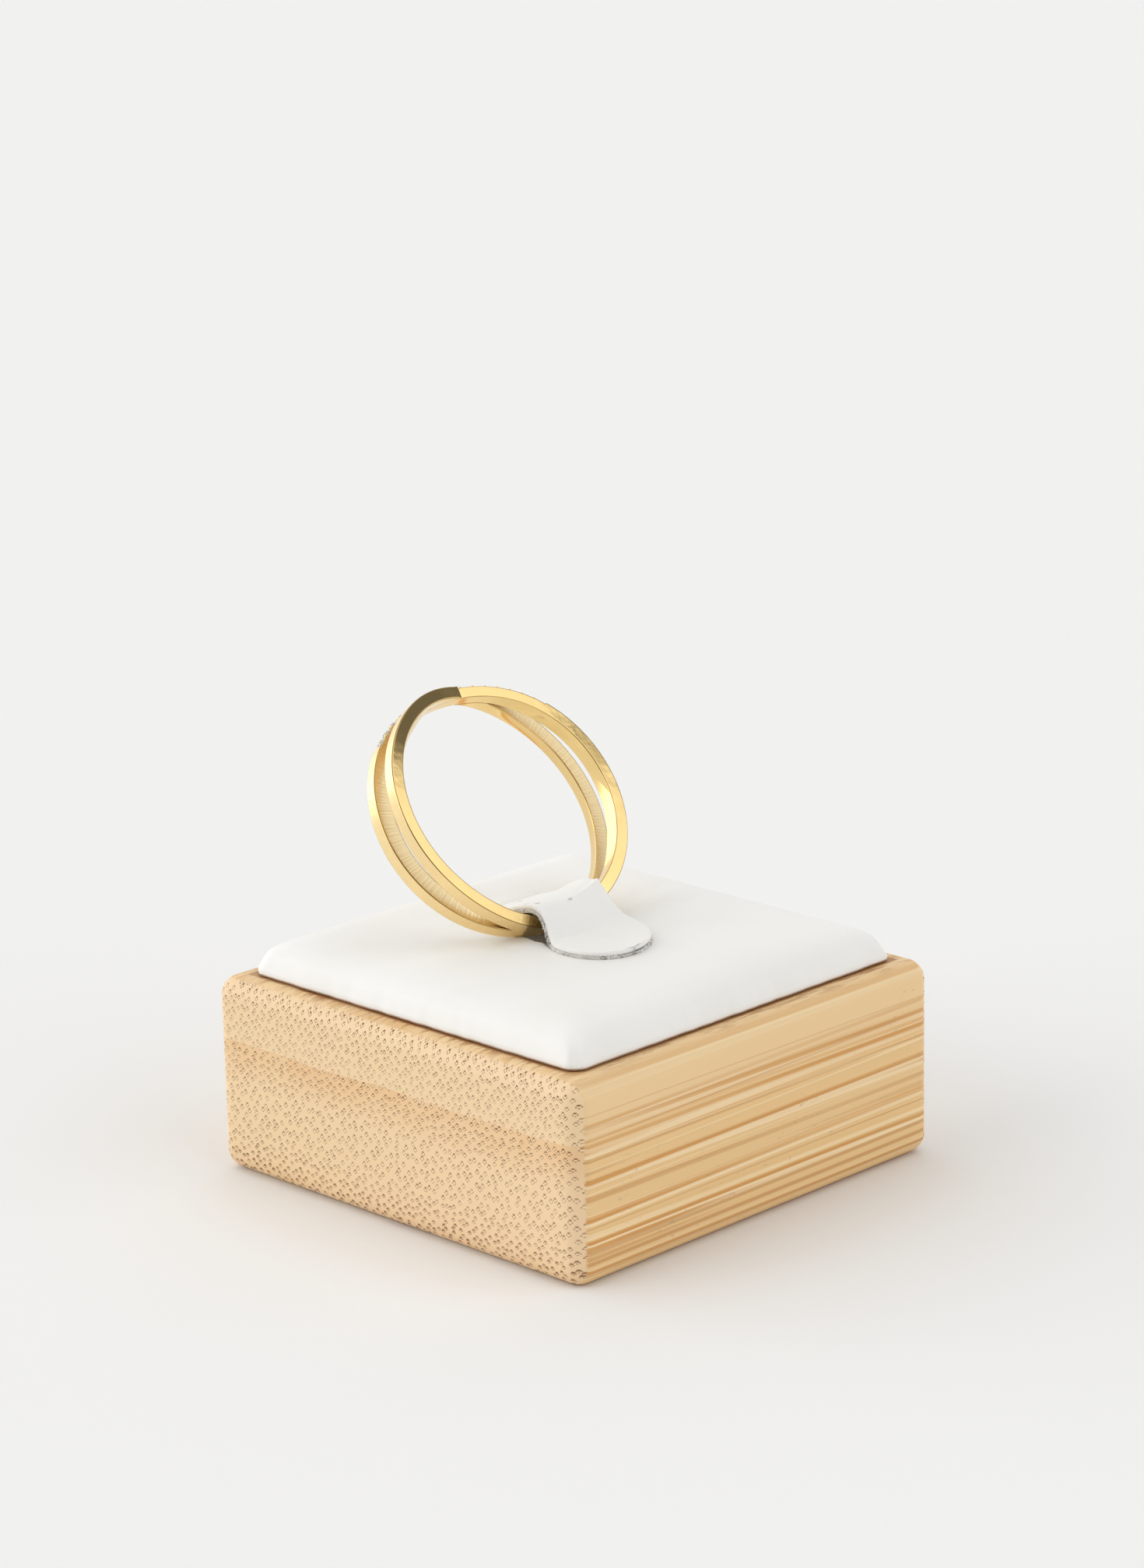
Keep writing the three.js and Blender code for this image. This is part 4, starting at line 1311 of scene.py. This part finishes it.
def add_camera():
    """Places the camera at the photo's viewing angle: target + distance * back, rolled a little."""
    a, e, r = CAMERA_AZIMUTH, CAMERA_ELEVATION, CAMERA_ROLL
    back = np.array([np.sin(a) * np.cos(e), -np.cos(a) * np.cos(e), np.sin(e)])
    right = np.array([np.cos(a), np.sin(a), 0.0])
    up = np.cross(back, right)
    place = CAMERA_RIGHT * right + CAMERA_RAISE * up + CAMERA_DISTANCE * back
    rolled_right = right * np.cos(r) + up * np.sin(r)
    rolled_up = up * np.cos(r) - right * np.sin(r)
    lens = bpy.data.cameras.new("camera")
    lens.sensor_width = SENSOR
    lens.lens = FOCAL_PIXELS / PHOTO_HEIGHT * SENSOR
    lens.clip_start, lens.clip_end = 0.01, 20.0
    bpy.context.scene.camera = place_object("camera", lens, rolled_right, rolled_up, back, place)


def add_floor():
    """A wide pale floor."""
    material = Painter("pale_floor").finish(
        Base_Color=FLOOR_TONE, Roughness=0.9, Specular_IOR_Level=0.1)
    signs = ((-1, -1), (1, -1), (1, 1), (-1, 1))
    points = [(x * FLOOR_HALF, y * FLOOR_HALF, 0) for x, y in signs]
    floor = add_mesh("floor", [(points, [(0, 1, 2, 3)], 0)], [material])


def add_window():
    """A soft distant light that comes from one direction and is as strong everywhere."""
    light = bpy.data.lights.new("window", "SUN")
    light.angle, light.energy, light.color = WINDOW_SPREAD, WINDOW_STRENGTH, WINDOW_TONE
    back = np.array(WINDOW_DIRECTION) / np.linalg.norm(WINDOW_DIRECTION)
    right = np.cross([0, 0, 1.0], back)
    right /= np.linalg.norm(right)
    place_object("window", light, right, np.cross(back, right), back)


def add_world():
    """A pale room: bright to the left and above, darker behind the camera and low on the right.
    The camera sees a plain background instead of it."""
    world = bpy.data.worlds.new("pale_room")
    room = NodeWriter(world)
    direction = room.add("ShaderNodeTexCoord", {}, "Generated")
    total = ROOM_BASE
    for centre, width, strength in ROOM_PATCHES:
        centre = tuple(np.array(centre) / np.linalg.norm(centre))
        towards = room.add("ShaderNodeVectorMath", {0: direction, 1: centre}, "Value",
                           operation="DOT_PRODUCT")
        total = towards.ramp(np.cos(np.radians(width)), 1.0, 0.0, strength) + total
    light = room.add("ShaderNodeBackground", {
        "Color": ROOM_TONE, "Strength": room.larger(total, ROOM_LEAST)})
    seen = room.add("ShaderNodeBackground", {"Color": BACKGROUND_TONE})
    by_camera = room.add("ShaderNodeLightPath", {}, "Is Camera Ray")
    mixed = room.add("ShaderNodeMixShader", {0: by_camera, 1: light, 2: seen})
    room.add("ShaderNodeOutputWorld", {0: mixed})
    bpy.context.scene.world = world


class RING_OT_studio(bpy.types.Operator):
    """Adds the pale floor, the soft lights and the camera"""

    bl_idname = "ring_stand.studio"
    bl_label = "Studio"

    def execute(self, context):
        add_camera()
        add_floor()
        add_world()
        add_window()
        view = context.scene.view_settings
        view.view_transform = "Standard"
        view.look = "None"
        return {"FINISHED"}


class RING_PT_sidebar(bpy.types.Panel):
    """Lists the pieces and their sizes"""

    bl_label = "Crossed Ring"
    bl_space_type = "VIEW_3D"
    bl_region_type = "UI"
    bl_category = "Ring"

    def draw(self, context):
        for operator in OPERATORS:
            self.layout.operator(operator.bl_idname)
        for name, group in SETTINGS.items():
            box = self.layout.box()
            for key in group.__annotations__:
                box.prop(getattr(context.scene, name), key)


OPERATORS = (RING_OT_studio, RING_OT_block, RING_OT_pad, RING_OT_tongue, RING_OT_band,
             RING_OT_stones)
CLASSES = (*SETTINGS.values(), *OPERATORS, RING_PT_sidebar)


def register():
    for cls in CLASSES:
        bpy.utils.register_class(cls)
    for name, group in SETTINGS.items():
        setattr(bpy.types.Scene, name, bpy.props.PointerProperty(type=group))


def unregister():
    for name in SETTINGS:
        delattr(bpy.types.Scene, name)
    for cls in reversed(CLASSES):
        bpy.utils.unregister_class(cls)


def main():
    register()
    for operator in OPERATORS:
        group, name = operator.bl_idname.split(".")
        getattr(getattr(bpy.ops, group), name)()


if __name__ == "__main__":
    main()
